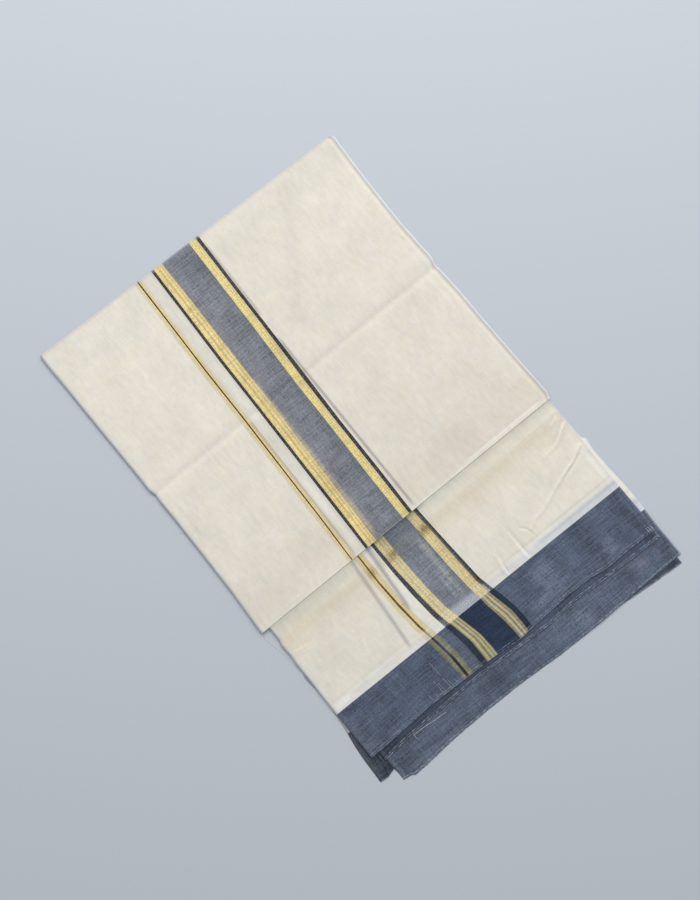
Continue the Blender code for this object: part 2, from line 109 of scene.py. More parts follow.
# %% [markdown]
# The three hidden layers show past the face at the left, each by its own amount, and the two
# lowest share one low fold at the right. They cross each other more than once. Four tables
# would hide that, so one row holds all four places, and they can be read side by side.

# %% the hidden layers' sides
Hidden = namedtuple("Hidden", "y second third fourth low_fold")
HIDDEN_SIDES = [
    Hidden(0.470, 0.0035, 0.0025, 0.0030, -0.0010), Hidden(0.408, 0.0035, 0.0025, 0.0030, -0.0028),
    Hidden(0.338, 0.0035, 0.0025, 0.0032, -0.0048), Hidden(0.277, 0.0030, 0.0025, 0.0030, -0.0058),
    Hidden(0.224, 0.0030, 0.0020, 0.0030, -0.0042), Hidden(0.193, 0.0030, 0.0020, 0.0030, -0.0027),
    Hidden(0.179, 0.0010, 0.0005, 0.0012, -0.0066), Hidden(0.167, 0.0020, 0.0015, 0.0020, -0.0048),
    Hidden(0.120, 0.0025, 0.0015, 0.0022, -0.0025), Hidden(0.041, 0.0025, 0.0015, 0.0025, -0.0013),
    Hidden(-0.037, 0.0020, 0.0010, 0.0020, 0.0004), Hidden(-0.100, 0.0005, -0.0005, 0.0000, 0.0020),
    Hidden(-0.128, -0.0036, -0.0040, -0.0037, -0.0018),
    Hidden(-0.182, -0.0036, -0.0042, -0.0038, -0.0018),
    Hidden(-0.203, -0.0030, -0.0040, -0.0030, -0.0009),
    Hidden(-0.2165, -0.0030, -0.0040, -0.0008, -0.0003),
    Hidden(-0.2200, -0.0030, -0.0040, 0.0016, 0.0040),
    Hidden(-0.2250, -0.0030, -0.0040, 0.0045, 0.0056),
    Hidden(-0.231, -0.0030, -0.0040, 0.0065, 0.0044),
    Hidden(-0.245, -0.0025, -0.0040, 0.0062, 0.0026),
    Hidden(-0.276, -0.0020, -0.0040, 0.0031, 0.0033),
    Hidden(-0.320, -0.0035, -0.0045, 0.0063, 0.0052),
    Hidden(-0.350, -0.0050, -0.0050, 0.0098, 0.0066),
    Hidden(-0.383, -0.0070, -0.0080, 0.0152, 0.0058),
    Hidden(-0.412, -0.0118, -0.0141, 0.0178, 0.0047),
    Hidden(-0.459, -0.0128, -0.0141, 0.0202, 0.0046),
    Hidden(-0.500, -0.0128, -0.0141, 0.0202, 0.0056),
]
print("the lowest layer stands out by", max(row.fourth for row in HIDDEN_SIDES), "m")

# %% [markdown]
# The weft threads run straight from side to side, but they fall a little toward the right,
# because the cloth was folded slightly askew. One more table says by how much at each height.
# A smooth curve through the rows would overshoot at a sudden step, so one small reader joins
# the rows of every table with straight lines.

# %% the threads' slant, and reading a table
Slant = namedtuple("Slant", "y drop")
WEFT_SLANT = [
    Slant(TOP_LEFT, TOP_LEFT - TOP_RIGHT), Slant(0.181, 0.0052), Slant(LIP_Y, 0.0039),
    Slant(BAND_Y, 0.0066), Slant(-0.5, 0.0080),
]


def read(rows, key, column, at):
    """Read a column of a table at one place or at many, in a straight line between rows."""
    rows = sorted(rows, key=lambda row: getattr(row, key))
    return np.interp(at, [getattr(row, key) for row in rows],
                     [getattr(row, column) for row in rows])


def weft_right(y_left):
    """Where a weft thread that starts at y_left on the left meets the right side."""
    return y_left - float(read(WEFT_SLANT, "y", "drop", y_left))


print("thread at the tuck falls by", round(LIP_Y - weft_right(LIP_Y), 4), "m")

# %% [markdown]
# ## The cut ends
# The four ends were cut by hand and never hemmed, so each wavers by a few millimetres. Noise
# alone would give an edge like any other, so tables say where each one really runs, and a
# little noise only roughens it.

# %% the cut ends
End = namedtuple("End", "x y")
FIRST_END = [
    End(-0.315, -0.4136), End(-0.258, -0.4115), End(-0.180, -0.4079), End(-0.101, -0.4107),
    End(-0.031, -0.4138), End(0.018, -0.4185), End(0.047, -0.4159), End(0.131, -0.4124),
    End(0.180, -0.4141), End(0.213, -0.4194), End(0.265, -0.4185), End(0.321, -0.4211),
]
SECOND_END = [
    End(-0.301, -0.4344), End(-0.279, -0.4304), End(-0.232, -0.4272), End(-0.136, -0.4246),
    End(-0.075, -0.4237), End(-0.040, -0.4272), End(0.021, -0.4299), End(0.077, -0.4325),
    End(0.136, -0.4290), End(0.208, -0.4333), End(0.265, -0.4354), End(0.321, -0.4363),
]
THIRD_END = [
    End(-0.297, -0.4806), End(-0.279, -0.4830), End(-0.275, -0.4868), End(-0.232, -0.4848),
    End(-0.179, -0.4810), End(-0.101, -0.4801), End(-0.040, -0.4808), End(0.021, -0.4842),
    End(0.056, -0.4866), End(0.143, -0.4872), End(0.213, -0.4852), End(0.265, -0.4840),
    End(0.330, -0.4830),
]
FOURTH_END = [
    End(-0.331, -0.4583), End(-0.315, -0.4595), End(-0.297, -0.4548), End(0.180, -0.4848),
    End(0.213, -0.4893), End(0.265, -0.4934), End(0.292, -0.4955), End(0.321, -0.4974),
]
RAG_DEPTH, RAGS = 0.0004, 260         # how deep the roughness is, and its spots a metre


def cut_end(end, x):
    """A cut end's Y at x, a little ragged."""
    ragged = [RAG_DEPTH * noise.noise(Vector((at * RAGS, 1.0, 0.0)))
              for at in np.atleast_1d(x)]
    return read(end, "x", "y", np.atleast_1d(x)) + ragged


print("ends at x = 0:", [round(float(read(end, "x", "y", 0)), 4)
                         for end in (FIRST_END, SECOND_END, THIRD_END, FOURTH_END)])

# %% [markdown]
# ## The border's lines
# The border is a set of warp threads, the ones that run along the cloth. They lean and bend
# with the cloth, and they jump sideways at the tuck. A striped image laid over the sheet
# would run straight through all that. Each row below says where the border's ten lines lie at
# one height, in millimetres from the nominal left side. On the loom those lines are straight,
# at the distances in LOOM.

# %% where the border's lines run
LINES = ("thin_gold", "thin_dark", "thin_gold_again", "gap", "dark", "gold", "grey",
         "gold_again", "dark_again", "plain")
Border = namedtuple("Border", ("y",) + LINES)
LOOM = Border(0, 195.9, 201.2, 203.9, 206.9, 232.5, 237.1, 257.5, 315.1, 329.6, 335.0)
UPPER_BORDER = [
    Border(0.481, 204.7, 208.4, 211.0, 214.3, 239.9, 244.5, 262.3, 321.6, 335.9, 341.5),
    Border(0.390, 200.2, 205.4, 207.7, 210.8, 236.6, 241.2, 260.9, 318.6, 332.9, 338.0),
    Border(0.286, 196.0, 201.5, 203.8, 207.1, 232.4, 237.1, 257.6, 315.1, 329.6, 335.0),
    Border(0.181, 194.0, 199.6, 201.9, 205.0, 230.0, 234.5, 255.5, 310.6, 325.1, 331.9),
    Border(0.076, 190.7, 196.0, 198.2, 201.4, 226.9, 231.6, 250.9, 308.9, 322.0, 327.7),
    Border(-0.029, 187.6, 193.0, 195.1, 198.2, 223.9, 228.7, 247.3, 305.9, 320.4, 326.1),
    Border(-0.107, 185.3, 189.5, 191.4, 194.7, 221.5, 226.2, 244.3, 304.5, 318.5, 323.9),
    Border(-0.126, 184.8, 188.9, 190.8, 194.1, 221.0, 225.7, 243.9, 304.3, 318.0, 323.5),
]
LOWER_BORDER = [
    Border(-0.137, 194.4, 200.3, 202.9, 208.0, 231.2, 236.6, 257.0, 309.8, 326.2, 333.0),
    Border(-0.186, 193.7, 198.6, 201.7, 207.7, 230.9, 237.1, 256.8, 311.1, 329.0, 334.9),
    Border(-0.238, 194.6, 199.7, 203.7, 208.4, 232.1, 240.1, 258.6, 312.5, 330.5, 337.6),
    Border(-0.290, 197.9, 203.8, 207.6, 212.6, 235.8, 244.3, 262.4, 315.5, 332.9, 340.5),
    Border(-0.316, 201.7, 207.7, 211.8, 218.2, 240.1, 249.2, 268.0, 319.0, 337.3, 346.2),
    Border(-0.334, 203.6, 210.2, 214.6, 221.6, 243.6, 253.4, 272.3, 320.0, 340.6, 351.0),
    Border(-0.369, 207.1, 213.8, 218.9, 225.2, 248.1, 259.3, 279.9, 326.1, 348.3, 357.7),
    Border(-0.398, 209.3, 214.1, 219.4, 225.6, 249.4, 258.8, 281.0, 328.4, 349.0, 358.6),
    Border(-0.416, 209.5, 214.3, 219.5, 225.4, 249.4, 258.5, 280.5, 328.8, 348.3, 357.7),
]
print("on the loom the border is", round(LOOM.plain - LOOM.thin_gold, 1), "mm wide")

# %% [markdown]
# Each column of a sheet is one warp thread, and its place on the loom is kept as its own
# coordinate, so the stripes can't slide off their threads. Even columns would be simpler, but
# a line that falls between two of them is drawn blurred, so one column stands on each line.
# The rest are spaced between, closer where creases are sharp.

# %% the columns, on the loom and on the table
Span = namedtuple("Span", "start longest")       # from here on the loom, the longest step
UPPER_SPANS = [Span(0.0, 0.0042), Span(0.612, 0.0012)]
LOWER_SPANS = [Span(0.0, 0.0045), Span(0.19, 0.0033), Span(0.37, 0.0014), Span(0.475, 0.0025),
               Span(0.55, 0.0020)]
HIDDEN_SPANS = [Span(0.0, 0.0045)]


def loom_columns(spans, border):
    """Places across the loom, one on each border line, no further apart than the spans say."""
    lines = [getattr(LOOM, line) / 1000 for line in LINES] * border
    marks = sorted({0.0, HALF_WIDTH, *lines, *(span.start for span in spans)})
    places = [0.0]
    for start, stop in zip(marks, marks[1:]):
        longest = [span.longest for span in spans if span.start <= start][-1]
        count = math.ceil((stop - start) / longest - 1e-6)
        places += [start + (stop - start) * step / count for step in range(1, count + 1)]
    return np.array(places)


def spread(places, left, right, y, border):
    """Where the columns lie at one height: X for each place on the loom."""
    loom, found = [0.0], [left]
    if border:
        loom += [getattr(LOOM, line) / 1000 for line in LINES]
        found += [PACK_LEFT + float(read(border, "y", line, y)) / 1000 for line in LINES]
    return np.interp(places, loom + [HALF_WIDTH], found + [right])


print("columns:", [len(loom_columns(spans, border)) for spans, border in (
    (UPPER_SPANS, True), (LOWER_SPANS, True), (HIDDEN_SPANS, False))])

# %% [markdown]
# ## The creases
# The pack was pressed and then handled. Above the tuck it has one straight crease right
# across, and a few faint ones. Each is a soft ridge or trough between two points, with its
# own height at each end. A simulation of cloth would make creases too, but not these ones, so
# they are placed one by one.

# %% the creases above the tuck
Crease = namedtuple("Crease", "x0 y0 x1 y1 start stop width")
UPPER_CREASES = [
    Crease(-0.340, 0.1815, 0.340, 0.1757, -0.0009, -0.0012, 0.0060),
    Crease(-0.340, 0.1990, 0.340, 0.1930, 0.0005, 0.0004, 0.0140),
    Crease(-0.340, 0.1640, 0.340, 0.1585, 0.0003, 0.0003, 0.0140),
    Crease(-0.196, 0.470, -0.206, -0.110, 0.00025, 0.00025, 0.0030),
    Crease(0.235, 0.330, 0.255, 0.190, 0.0003, 0.0006, 0.0120),
    Crease(0.130, 0.110, 0.150, -0.060, 0.0006, 0.0003, 0.0200),
    Crease(-0.120, 0.360, -0.160, 0.240, 0.0002, 0.0005, 0.0180),
    Crease(-0.270, -0.040, -0.230, -0.100, 0.0006, 0.0002, 0.0160),
    Crease(0.271, -0.0690, 0.298, -0.0695, 0.0004, 0.0005, 0.0032),
]
print(len(UPPER_CREASES), "creases above the tuck")

# %% [markdown]
# Below the tuck the cloth was pushed about more, and a fan of creases runs in from the side
# fold. A curved one could follow a spline. Here it is a few short ones end to end, each
# starting at the height where the last one stopped, which needs nothing new. A trough beside
# a ridge makes the fold look steep.

# %% the creases below the tuck
LOWER_CREASES = [
    # The fan: a trough beside a ridge, from the side fold inward.
    Crease(0.3125, -0.1726, 0.3020, -0.1814, -0.0009, -0.0010, 0.0032),
    Crease(0.3020, -0.1814, 0.2915, -0.1892, -0.0010, -0.0008, 0.0032),
    Crease(0.2915, -0.1892, 0.2793, -0.1943, -0.0008, -0.0003, 0.0036),
    Crease(0.3160, -0.1777, 0.3055, -0.1862, 0.0016, 0.0016, 0.0030),
    Crease(0.3055, -0.1862, 0.2950, -0.1936, 0.0016, 0.0013, 0.0030),
    Crease(0.2950, -0.1936, 0.2793, -0.1981, 0.0013, 0.0008, 0.0034),
    Crease(0.2793, -0.1981, 0.2514, -0.2013, 0.0008, 0.0005, 0.0034),
    Crease(0.3125, -0.1554, 0.2985, -0.1611, -0.0007, -0.0008, 0.0026),
    Crease(0.3070, -0.1630, 0.2950, -0.1672, 0.0008, 0.0004, 0.0028),
    Crease(0.3160, -0.1510, 0.2132, -0.1555, 0.0008, 0.0006, 0.0050),
    # The long one, which ends in a fork.
    Crease(0.3125, -0.2239, 0.2863, -0.2387, 0.0015, 0.0018, 0.0028),
    Crease(0.2863, -0.2387, 0.2741, -0.2412, 0.0018, 0.0018, 0.0030),
    Crease(0.2741, -0.2412, 0.2619, -0.2452, 0.0018, 0.0016, 0.0030),
    Crease(0.2619, -0.2452, 0.2305, -0.2557, 0.0016, 0.0013, 0.0030),
    Crease(0.2305, -0.2557, 0.2130, -0.2634, 0.0013, 0.0010, 0.0030),
    Crease(0.2130, -0.2634, 0.1921, -0.2714, 0.0010, 0.0007, 0.0032),
    Crease(0.1921, -0.2714, 0.1694, -0.2738, 0.0007, 0.0009, 0.0032),
    Crease(0.1694, -0.2738, 0.1554, -0.2833, 0.0009, 0.0012, 0.0030),
    Crease(0.1554, -0.2833, 0.1519, -0.2920, 0.0012, 0.0003, 0.0030),
    Crease(0.3003, -0.2358, 0.2741, -0.2458, -0.0009, -0.0011, 0.0028),
    Crease(0.2741, -0.2458, 0.2569, -0.2510, -0.0011, -0.0004, 0.0028),
    Crease(0.1401, -0.2693, 0.1481, -0.2773, -0.0006, -0.0009, 0.0024),
    Crease(0.1481, -0.2773, 0.1509, -0.2868, -0.0009, -0.0008, 0.0024),
    Crease(0.1509, -0.2868, 0.1533, -0.2990, -0.0008, -0.0003, 0.0024),
    # Two short pleats that run into the end band.
    Crease(0.0751, -0.2780, 0.0720, -0.2990, 0.0006, 0.0009, 0.0027),
    Crease(0.0720, -0.2990, 0.0692, -0.3182, 0.0009, 0.0009, 0.0026),
    Crease(0.0814, -0.2780, 0.0774, -0.2990, -0.0004, -0.0009, 0.0024),
    Crease(0.0774, -0.2990, 0.0748, -0.3182, -0.0009, -0.0015, 0.0024),
    Crease(0.1216, -0.2588, 0.1219, -0.2780, -0.0001, -0.0006, 0.0026),
    Crease(0.1219, -0.2780, 0.1219, -0.3199, -0.0006, -0.0018, 0.0025),
    Crease(0.1150, -0.2640, 0.1150, -0.3199, 0.0002, 0.0006, 0.0050),
    # Small ones by the selvage, and broad, faint swells.
    Crease(-0.3080, -0.1838, -0.2896, -0.1890, 0.0005, 0.0007, 0.0024),
    Crease(-0.2896, -0.1890, -0.2686, -0.1940, 0.0007, 0.0002, 0.0026),
    Crease(-0.3060, -0.1890, -0.2880, -0.1950, 0.0005, 0.0006, 0.0024),
    Crease(-0.2880, -0.1950, -0.2690, -0.1995, 0.0006, 0.0002, 0.0026),
    Crease(-0.2000, -0.1600, 0.3000, -0.1560, 0.0005, 0.0005, 0.0100),
    Crease(-0.1480, -0.2100, -0.1460, -0.2900, 0.0002, 0.0004, 0.0120),
    Crease(0.0300, -0.2000, 0.0500, -0.2900, 0.0004, 0.0002, 0.0160),
]
print(len(LOWER_CREASES), "below it, the tallest", max(row.start for row in LOWER_CREASES), "m")

# %% [markdown]
# ## How high the cloth stands
# The cloth's height at a point is a sum of small functions: the creases, a faint rumple all
# over, ends that stand off, a selvage that hangs, and the groove beside the side fold. It
# could be sculpted once by hand, but a function can be read, tried alone and changed later.

# %% the relief, one part at a time
LOOSE_FROM, LOOSE_OVER = -0.345, 0.075           # the loose ends, and how far they take to rise
LIFTS = (0.0, 0.0004, 0.0011, 0.0021)            # how far each one does, from the lowest up
DROOP = 0.0011                                   # a selvage hangs by this much
GROOVE, GROOVE_IN, GROOVE_HALF = 0.0010, 0.0080, 0.0034    # its depth, place and half width


def smooth(value):
    """Ease from 0 to 1; works on one number or on an array."""
    value = np.clip(value, 0.0, 1.0)
    return value * value * (3 - 2 * value)


def crease_height(creases, x, y):
    """The highest ridge and the deepest trough at each point, together."""
    ridge, trough = np.zeros_like(x), np.zeros_like(x)
    for crease in creases:
        run_x, run_y = crease.x1 - crease.x0, crease.y1 - crease.y0
        share = ((x - crease.x0) * run_x + (y - crease.y0) * run_y) / (run_x ** 2 + run_y ** 2)
        share = np.clip(share, 0.0, 1.0)
        away = np.hypot(x - crease.x0 - run_x * share, y - crease.y0 - run_y * share)
        top = crease.start + (crease.stop - crease.start) * share
        height = top * np.exp(-(away / crease.width) ** 2)
        ridge, trough = np.maximum(ridge, height), np.minimum(trough, height)
    return ridge + trough


def rumple(x, y, size):
    """The faint unevenness of cloth that was pressed once and then handled."""
    slow = np.sin(2 * np.pi * (x / 0.131 + 0.21 * np.sin(y / 0.047)) + 0.7)
    cross = np.sin(2 * np.pi * (y / 0.167 + 0.17 * np.sin(x / 0.053)) + 2.1)
    fine = np.sin(2 * np.pi * (x / 0.047 - y / 0.213)) * np.sin(2 * np.pi * y / 0.091)
    return size * (0.45 * slow + 0.35 * cross + 0.20 * fine)


def end_lift(x, y, level):
    """How far the loose ends stand off the layers below."""
    along = smooth((LOOSE_FROM - y) / LOOSE_OVER)
    across = 0.72 + 0.18 * np.sin(27 * x + 0.6) + 0.10 * np.sin(61 * x + 2.0)
    return LIFTS[level] * along * across


def droop(x):
    """A selvage hangs down a little, on to the layers below."""
    return -DROOP * np.exp(-np.maximum(x - PACK_LEFT + 0.005, 0) / 0.0040)


def fold_groove(x, y):
    """The groove that was pressed beside the side fold, and follows its edge."""
    edge = PACK_RIGHT + read(UPPER_SIDES, "y", "right", y)
    return -GROOVE * np.exp(-((edge - GROOVE_IN - x) / GROOVE_HALF) ** 2)


print("the face's cut end stands off by up to", LIFTS[3], "m")

# %% [markdown]
# The face comes down from the top fold at one height, climbs to the tuck, and is pressed flat
# along the tuck's edge. Below the tuck it starts again, two layers lower, since the tuck lies
# on it. One function for each stretch adds the relief up, and fades it out where the cloth is
# held: at the top fold, at the tuck's edge and where the end band begins.

# %% the height of the face
PUFF = 0.0006                         # air under the upper stretch
PRESS_OVER = 0.012                    # the pressed strip along the tuck's edge
TOP_EASE, GROOVE_EASE = 0.06, 0.02    # the relief and the groove fade in from the top fold
UPPER_RUMPLE, LOWER_RUMPLE = 0.0004, 0.0003


def upper_face(x, y):
    """The face from the top fold to the tuck, pressed down along the tuck's edge."""
    rise = (LIP_TOP - FACE_TOP - PUFF) * smooth((LIP_Y + LIP_RISE - y) / LIP_RISE)
    press = smooth((LIP_Y + PRESS_OVER - y) / PRESS_OVER)
    eased = smooth((TOP_LEFT - WRAP - y) / TOP_EASE)
    relief = crease_height(UPPER_CREASES, x, y) + rumple(x, y, UPPER_RUMPLE) + droop(x)
    groove = fold_groove(x, y) * smooth((TOP_LEFT - WRAP - y) / GROOVE_EASE)
    calm = 1 - 0.6 * press
    return FACE_TOP + PUFF * eased + rise - LIP_PRESS * press + (relief * eased + groove) * calm


def lower_face(x, y):
    """The face below the tuck, with the loose creases, down to its cut end."""
    clear = smooth((LIP_Y - 0.004 - y) / 0.012)
    calm = smooth((y - BAND_Y + 0.003) / 0.008)
    relief = crease_height(LOWER_CREASES, x, y) * calm + rumple(x, y, LOWER_RUMPLE)
    return FACE_TOP + relief * clear + end_lift(x, y, 3) + droop(x) * clear


middle = np.array([0.0])
print("face at the middle:", round(float(upper_face(middle, middle + 0.1)[0]), 5),
      "above the tuck and", round(float(lower_face(middle, middle - 0.25)[0]), 5), "below")

# %% [markdown]
# ## Shaping a sheet
# Every sheet is a grid. A row is a weft thread, and a column is a warp thread. At a fold the
# sheet simply rolls on: past the start of the turn it follows a half circle, and then it runs
# back underneath. A bevel could round the folds, but it wouldn't keep the cloth's length. The
# same small function makes the top fold, the tuck and the side folds.

# %% rows that lie flat and rows that turn
Row = namedtuple("Row", "y_left y_right along drop lean_y lean_z rim weft")
RIM_LOSS, RIM_PACE = 0.88, 0.64       # how much of the rim a fold opens, and how soon


def rolled(past, radius):
    """Past the start of a turn: how far along and down the sheet is, and which way it faces."""
    turn = min(past / radius, math.pi)
    back = max(past - math.pi * radius, 0.0)
    return (radius * math.sin(turn) - back, radius * (1 - math.cos(turn)),
            math.sin(turn), math.cos(turn))


def flat_row(y_left, y_right=None, weft=None):
    """A row that lies flat, with its whole rim turned at the side fold."""
    right = weft_right(y_left) if y_right is None else y_right
    return Row(y_left, right, 0.0, 0.0, 0.0, 1.0, 1.0, BAND_Y - y_left if weft is None else weft)


def rolled_row(y_left, y_right, past, radius, way):
    """A row in a turn: way is 1 for one at the cloth's +Y end and -1 for one at its -Y end."""
    along, drop, lean, up = rolled(past, radius)
    rim = 1 - RIM_LOSS * float(smooth(past / radius * RIM_PACE))
    weft = BAND_Y - y_left - way * past
    return Row(y_left, y_right, way * along, drop, way * lean, up, rim, weft)


def between(start, stop, longest):
    """Even steps from start to stop, no longer than longest; stop itself is left out."""
    count = max(1, math.ceil(abs(stop - start) / longest))
    return [start + (stop - start) * step / count for step in range(count)]


print("a quarter turn of the top fold drops by", round(rolled(WRAP * math.pi / 2, WRAP)[1], 5))

# %% [markdown]
# A row becomes points in three steps. Its columns are spread between its two sides, along the
# border's lines. The straight thread gives their Y, and the face's function their Z. Then the
# rim, the few millimetres past the side fold's start, is rolled under with closer steps. A
# cloth simulation would fold it too, but it wouldn't keep each thread at its known place.

# %% from rows to points
RIM_STEPS = [0.0003, 0.0006, 0.0009, 0.0012, 0.0016, 0.0020, 0.0025, 0.0031, 0.0039, 0.0060]
BORDER_MIDDLE = 0.27                  # across the loom; the border is read at its height there


def weft_y(y_left, y_right, x):
    """The height at x of the straight thread between the two nominal sides."""
    return y_left + (y_right - y_left) * (x - PACK_LEFT) / HALF_WIDTH


def shape_rows(rows, places, sides, height, border=None, end=None, rim=True):
    """Points and cloth coordinates of a sheet, row by row."""
    points, cloth = [], []
    for row in rows:
        left, right = sides(row.y_left, row.y_right)
        reach = row.rim * RIM_STEPS[-1] if rim else 0.0
        start = right - ROLL * math.sin(min(reach / ROLL, math.pi / 2))
        middle = weft_y(row.y_left, row.y_right, PACK_LEFT + BORDER_MIDDLE)
        x = spread(places, left, start, middle, border)
        fall = np.zeros_like(x)
        loom = places
        if rim:
            turned = [rolled(row.rim * step, ROLL) for step in RIM_STEPS]
            x = np.append(x, [start + turn[0] for turn in turned])
            fall = np.append(fall, [turn[1] for turn in turned])
            loom = np.append(places, HALF_WIDTH + np.array(RIM_STEPS))
        y = weft_y(row.y_left, row.y_right, x)
        if end:
            y = end(row, x, y)
        flat_x = np.minimum(x, start)
        z = height(flat_x, y) - row.drop
        points.append(np.stack([x, y + row.along - fall * row.lean_y, z - fall * row.lean_z], 1))
        cloth.append(np.stack([loom, np.full_like(loom, row.weft)], 1))
    return np.array(points), np.array(cloth)


print("side fold:", round(2 * ROLL * 1000, 2), "mm thick")

# %% [markdown]
# The grid is one layer of faces with no thickness. The threads' places go in as a UV map named
# cloth, which the finishes read. Drawing an underside by hand would double the work, so
# Solidify gives the grid the cotton's own thickness, on its lower side. The sheet is also
# measured here along its threads, which gives the size that it was cut to.

# %% adding a sheet
def put(name, data):
    """A new object in the scene."""
    placed = bpy.data.objects.new(name, data)
    bpy.context.scene.collection.objects.link(placed)
    return placed


def add_sheet(name, points, cloth, finish):
    """A grid through the points, with the cloth coordinates as its UV map."""
    count, across = points.shape[:2]
    index = np.arange(count * across).reshape(count, across)
    corners = np.stack([index[:-1, :-1], index[1:, :-1], index[1:, 1:], index[:-1, 1:]], -1)
    mesh = bpy.data.meshes.new(name)
    mesh.from_pydata(points.reshape(-1, 3).tolist(), [], corners.reshape(-1, 4).tolist())
    layer = mesh.uv_layers.new(name="cloth")
    loops = np.zeros(len(mesh.loops), dtype=np.int32)
    mesh.loops.foreach_get("vertex_index", loops)
    layer.data.foreach_set("uv", cloth.reshape(-1, 2)[loops].astype(np.float32).ravel())
    mesh.shade_smooth()
    mesh.materials.append(finish)
    sheet = put(name, mesh)
    thickness = sheet.modifiers.new("cloth", "SOLIDIFY")
    thickness.thickness = SHEET
    thickness.offset = -1.0
    steps = np.linalg.norm(np.diff(points, axis=1), axis=2).sum(axis=1)
    lengths = np.linalg.norm(np.diff(points, axis=0), axis=2).sum(axis=0)
    flat = (float(np.median(steps)), float(np.median(lengths)))
    print(name, count, "by", across, "threads; flat", [round(side, 3) for side in flat])
    return sheet, flat


print("each sheet is", SHEET, "m thick")

# %% [markdown]
# ## Colours as the eye sees them
# A dyer matches a colour by eye, and so do the numbers below, from 0 to 255. The renderer
# counts light instead, where half as much light doesn't look half as bright. They could be
# typed in its scale, but nobody can see a colour in that, so one function turns them.

# %% colours
def seen(red, green, blue):
    """A colour as the eye sees it, from 0 to 255, in the renderer's scale."""
    parts = [value / 255 for value in (red, green, blue)]
    return tuple(part / 12.92 if part <= 0.04045 else ((part + 0.055) / 1.055) ** 2.4
                 for part in parts) + (1.0,)


print("cream:", [round(part, 3) for part in seen(226, 221, 209)])

# %% [markdown]
# ## A helper for the finishes
# A procedural finish is a net of small nodes. It could be joined up by hand in the shader
# editor, but a net of this size is hard to follow there, and writing each link out in a script
# hides the idea. This helper adds a node and joins it in one call, so a finish reads like a
# sum.

# %% the node helper
MIX_FIRST, MIX_SECOND, MIX_RESULT = 6, 7, 2      # the Mix node's sockets for colours


class Net:
    """Adds shader nodes and links them."""

    def __init__(self, name):
        self.material = bpy.data.materials.new(name)
        self.material.use_nodes = True
        self.tree = self.material.node_tree
        self.shader = self.tree.nodes["Principled BSDF"]

    def add(self, kind, *inputs, **settings):
        node = self.tree.nodes.new("ShaderNode" + kind)
        for key, value in settings.items():
            setattr(node, key, value)
        for socket, value in zip(node.inputs, inputs):
            self.join(value, socket)
        return node

    def join(self, value, socket):
        if isinstance(value, bpy.types.NodeSocket):
            self.tree.links.new(value, socket)
        elif value is not None:
            socket.default_value = value

    def sum(self, operation, *values):
        return self.add("Math", *values, operation=operation).outputs[0]

    def ease(self, value, start, stop, low=0.0, high=1.0):
        """Carry value from start..stop to low..high, smoothly and held at both ends."""
        node = self.add("MapRange", value, start, stop, low, high,
                        interpolation_type="SMOOTHSTEP")
        return node.outputs[0]

    def noise(self, along, across, scale_along, scale_across, detail=2.0):
        """Soft noise around 0, stretched by its two scales, in spots per metre."""
        first = self.sum("MULTIPLY", along, scale_along)
        second = self.sum("MULTIPLY", across, scale_across)
        spot = self.add("CombineXYZ", first, second, 0.0).outputs[0]
        node = self.add("TexNoise", noise_dimensions="2D")
        self.join(spot, node.inputs["Vector"])
        node.inputs["Scale"].default_value = 1.0
        node.inputs["Detail"].default_value = detail
        return self.sum("SUBTRACT", node.outputs[0], 0.5)

    def blend(self, share, first, second):
        """From the first colour to the second."""
        node = self.add("Mix", data_type="RGBA")
        self.join(share, node.inputs[0])
        self.join(first, node.inputs[MIX_FIRST])
        self.join(second, node.inputs[MIX_SECOND])
        return node.outputs[MIX_RESULT]

    def near(self, value, place, half):
        """1 at the place and 0 from half of the way outward."""
        away = self.sum("ABSOLUTE", self.sum("SUBTRACT", value, place))
        return self.ease(away, half, 0.0)


print("the helper's calls:", [name for name in vars(Net) if not name.startswith("_")])

# %% [markdown]
# ## The cotton's colours
# The plain cloth is unbleached: cream warp and cream weft. In the border the warp is gold
# thread or near-black cotton. In the end band the weft is a dark blue-grey, so every warp
# thread looks darker there, and where dark crosses dark it is nearly navy. Each zone of the
# loom has two colours, one over the cream weft and one over the dark weft, and the weft's
# place along the cloth chooses between them. The gold is woven in ropes, bright and dull in
# turn, so it takes several zones. Each zone starts at its place across the loom, in
# millimetres, and soft says how gradually, for the few that aren't sharp.

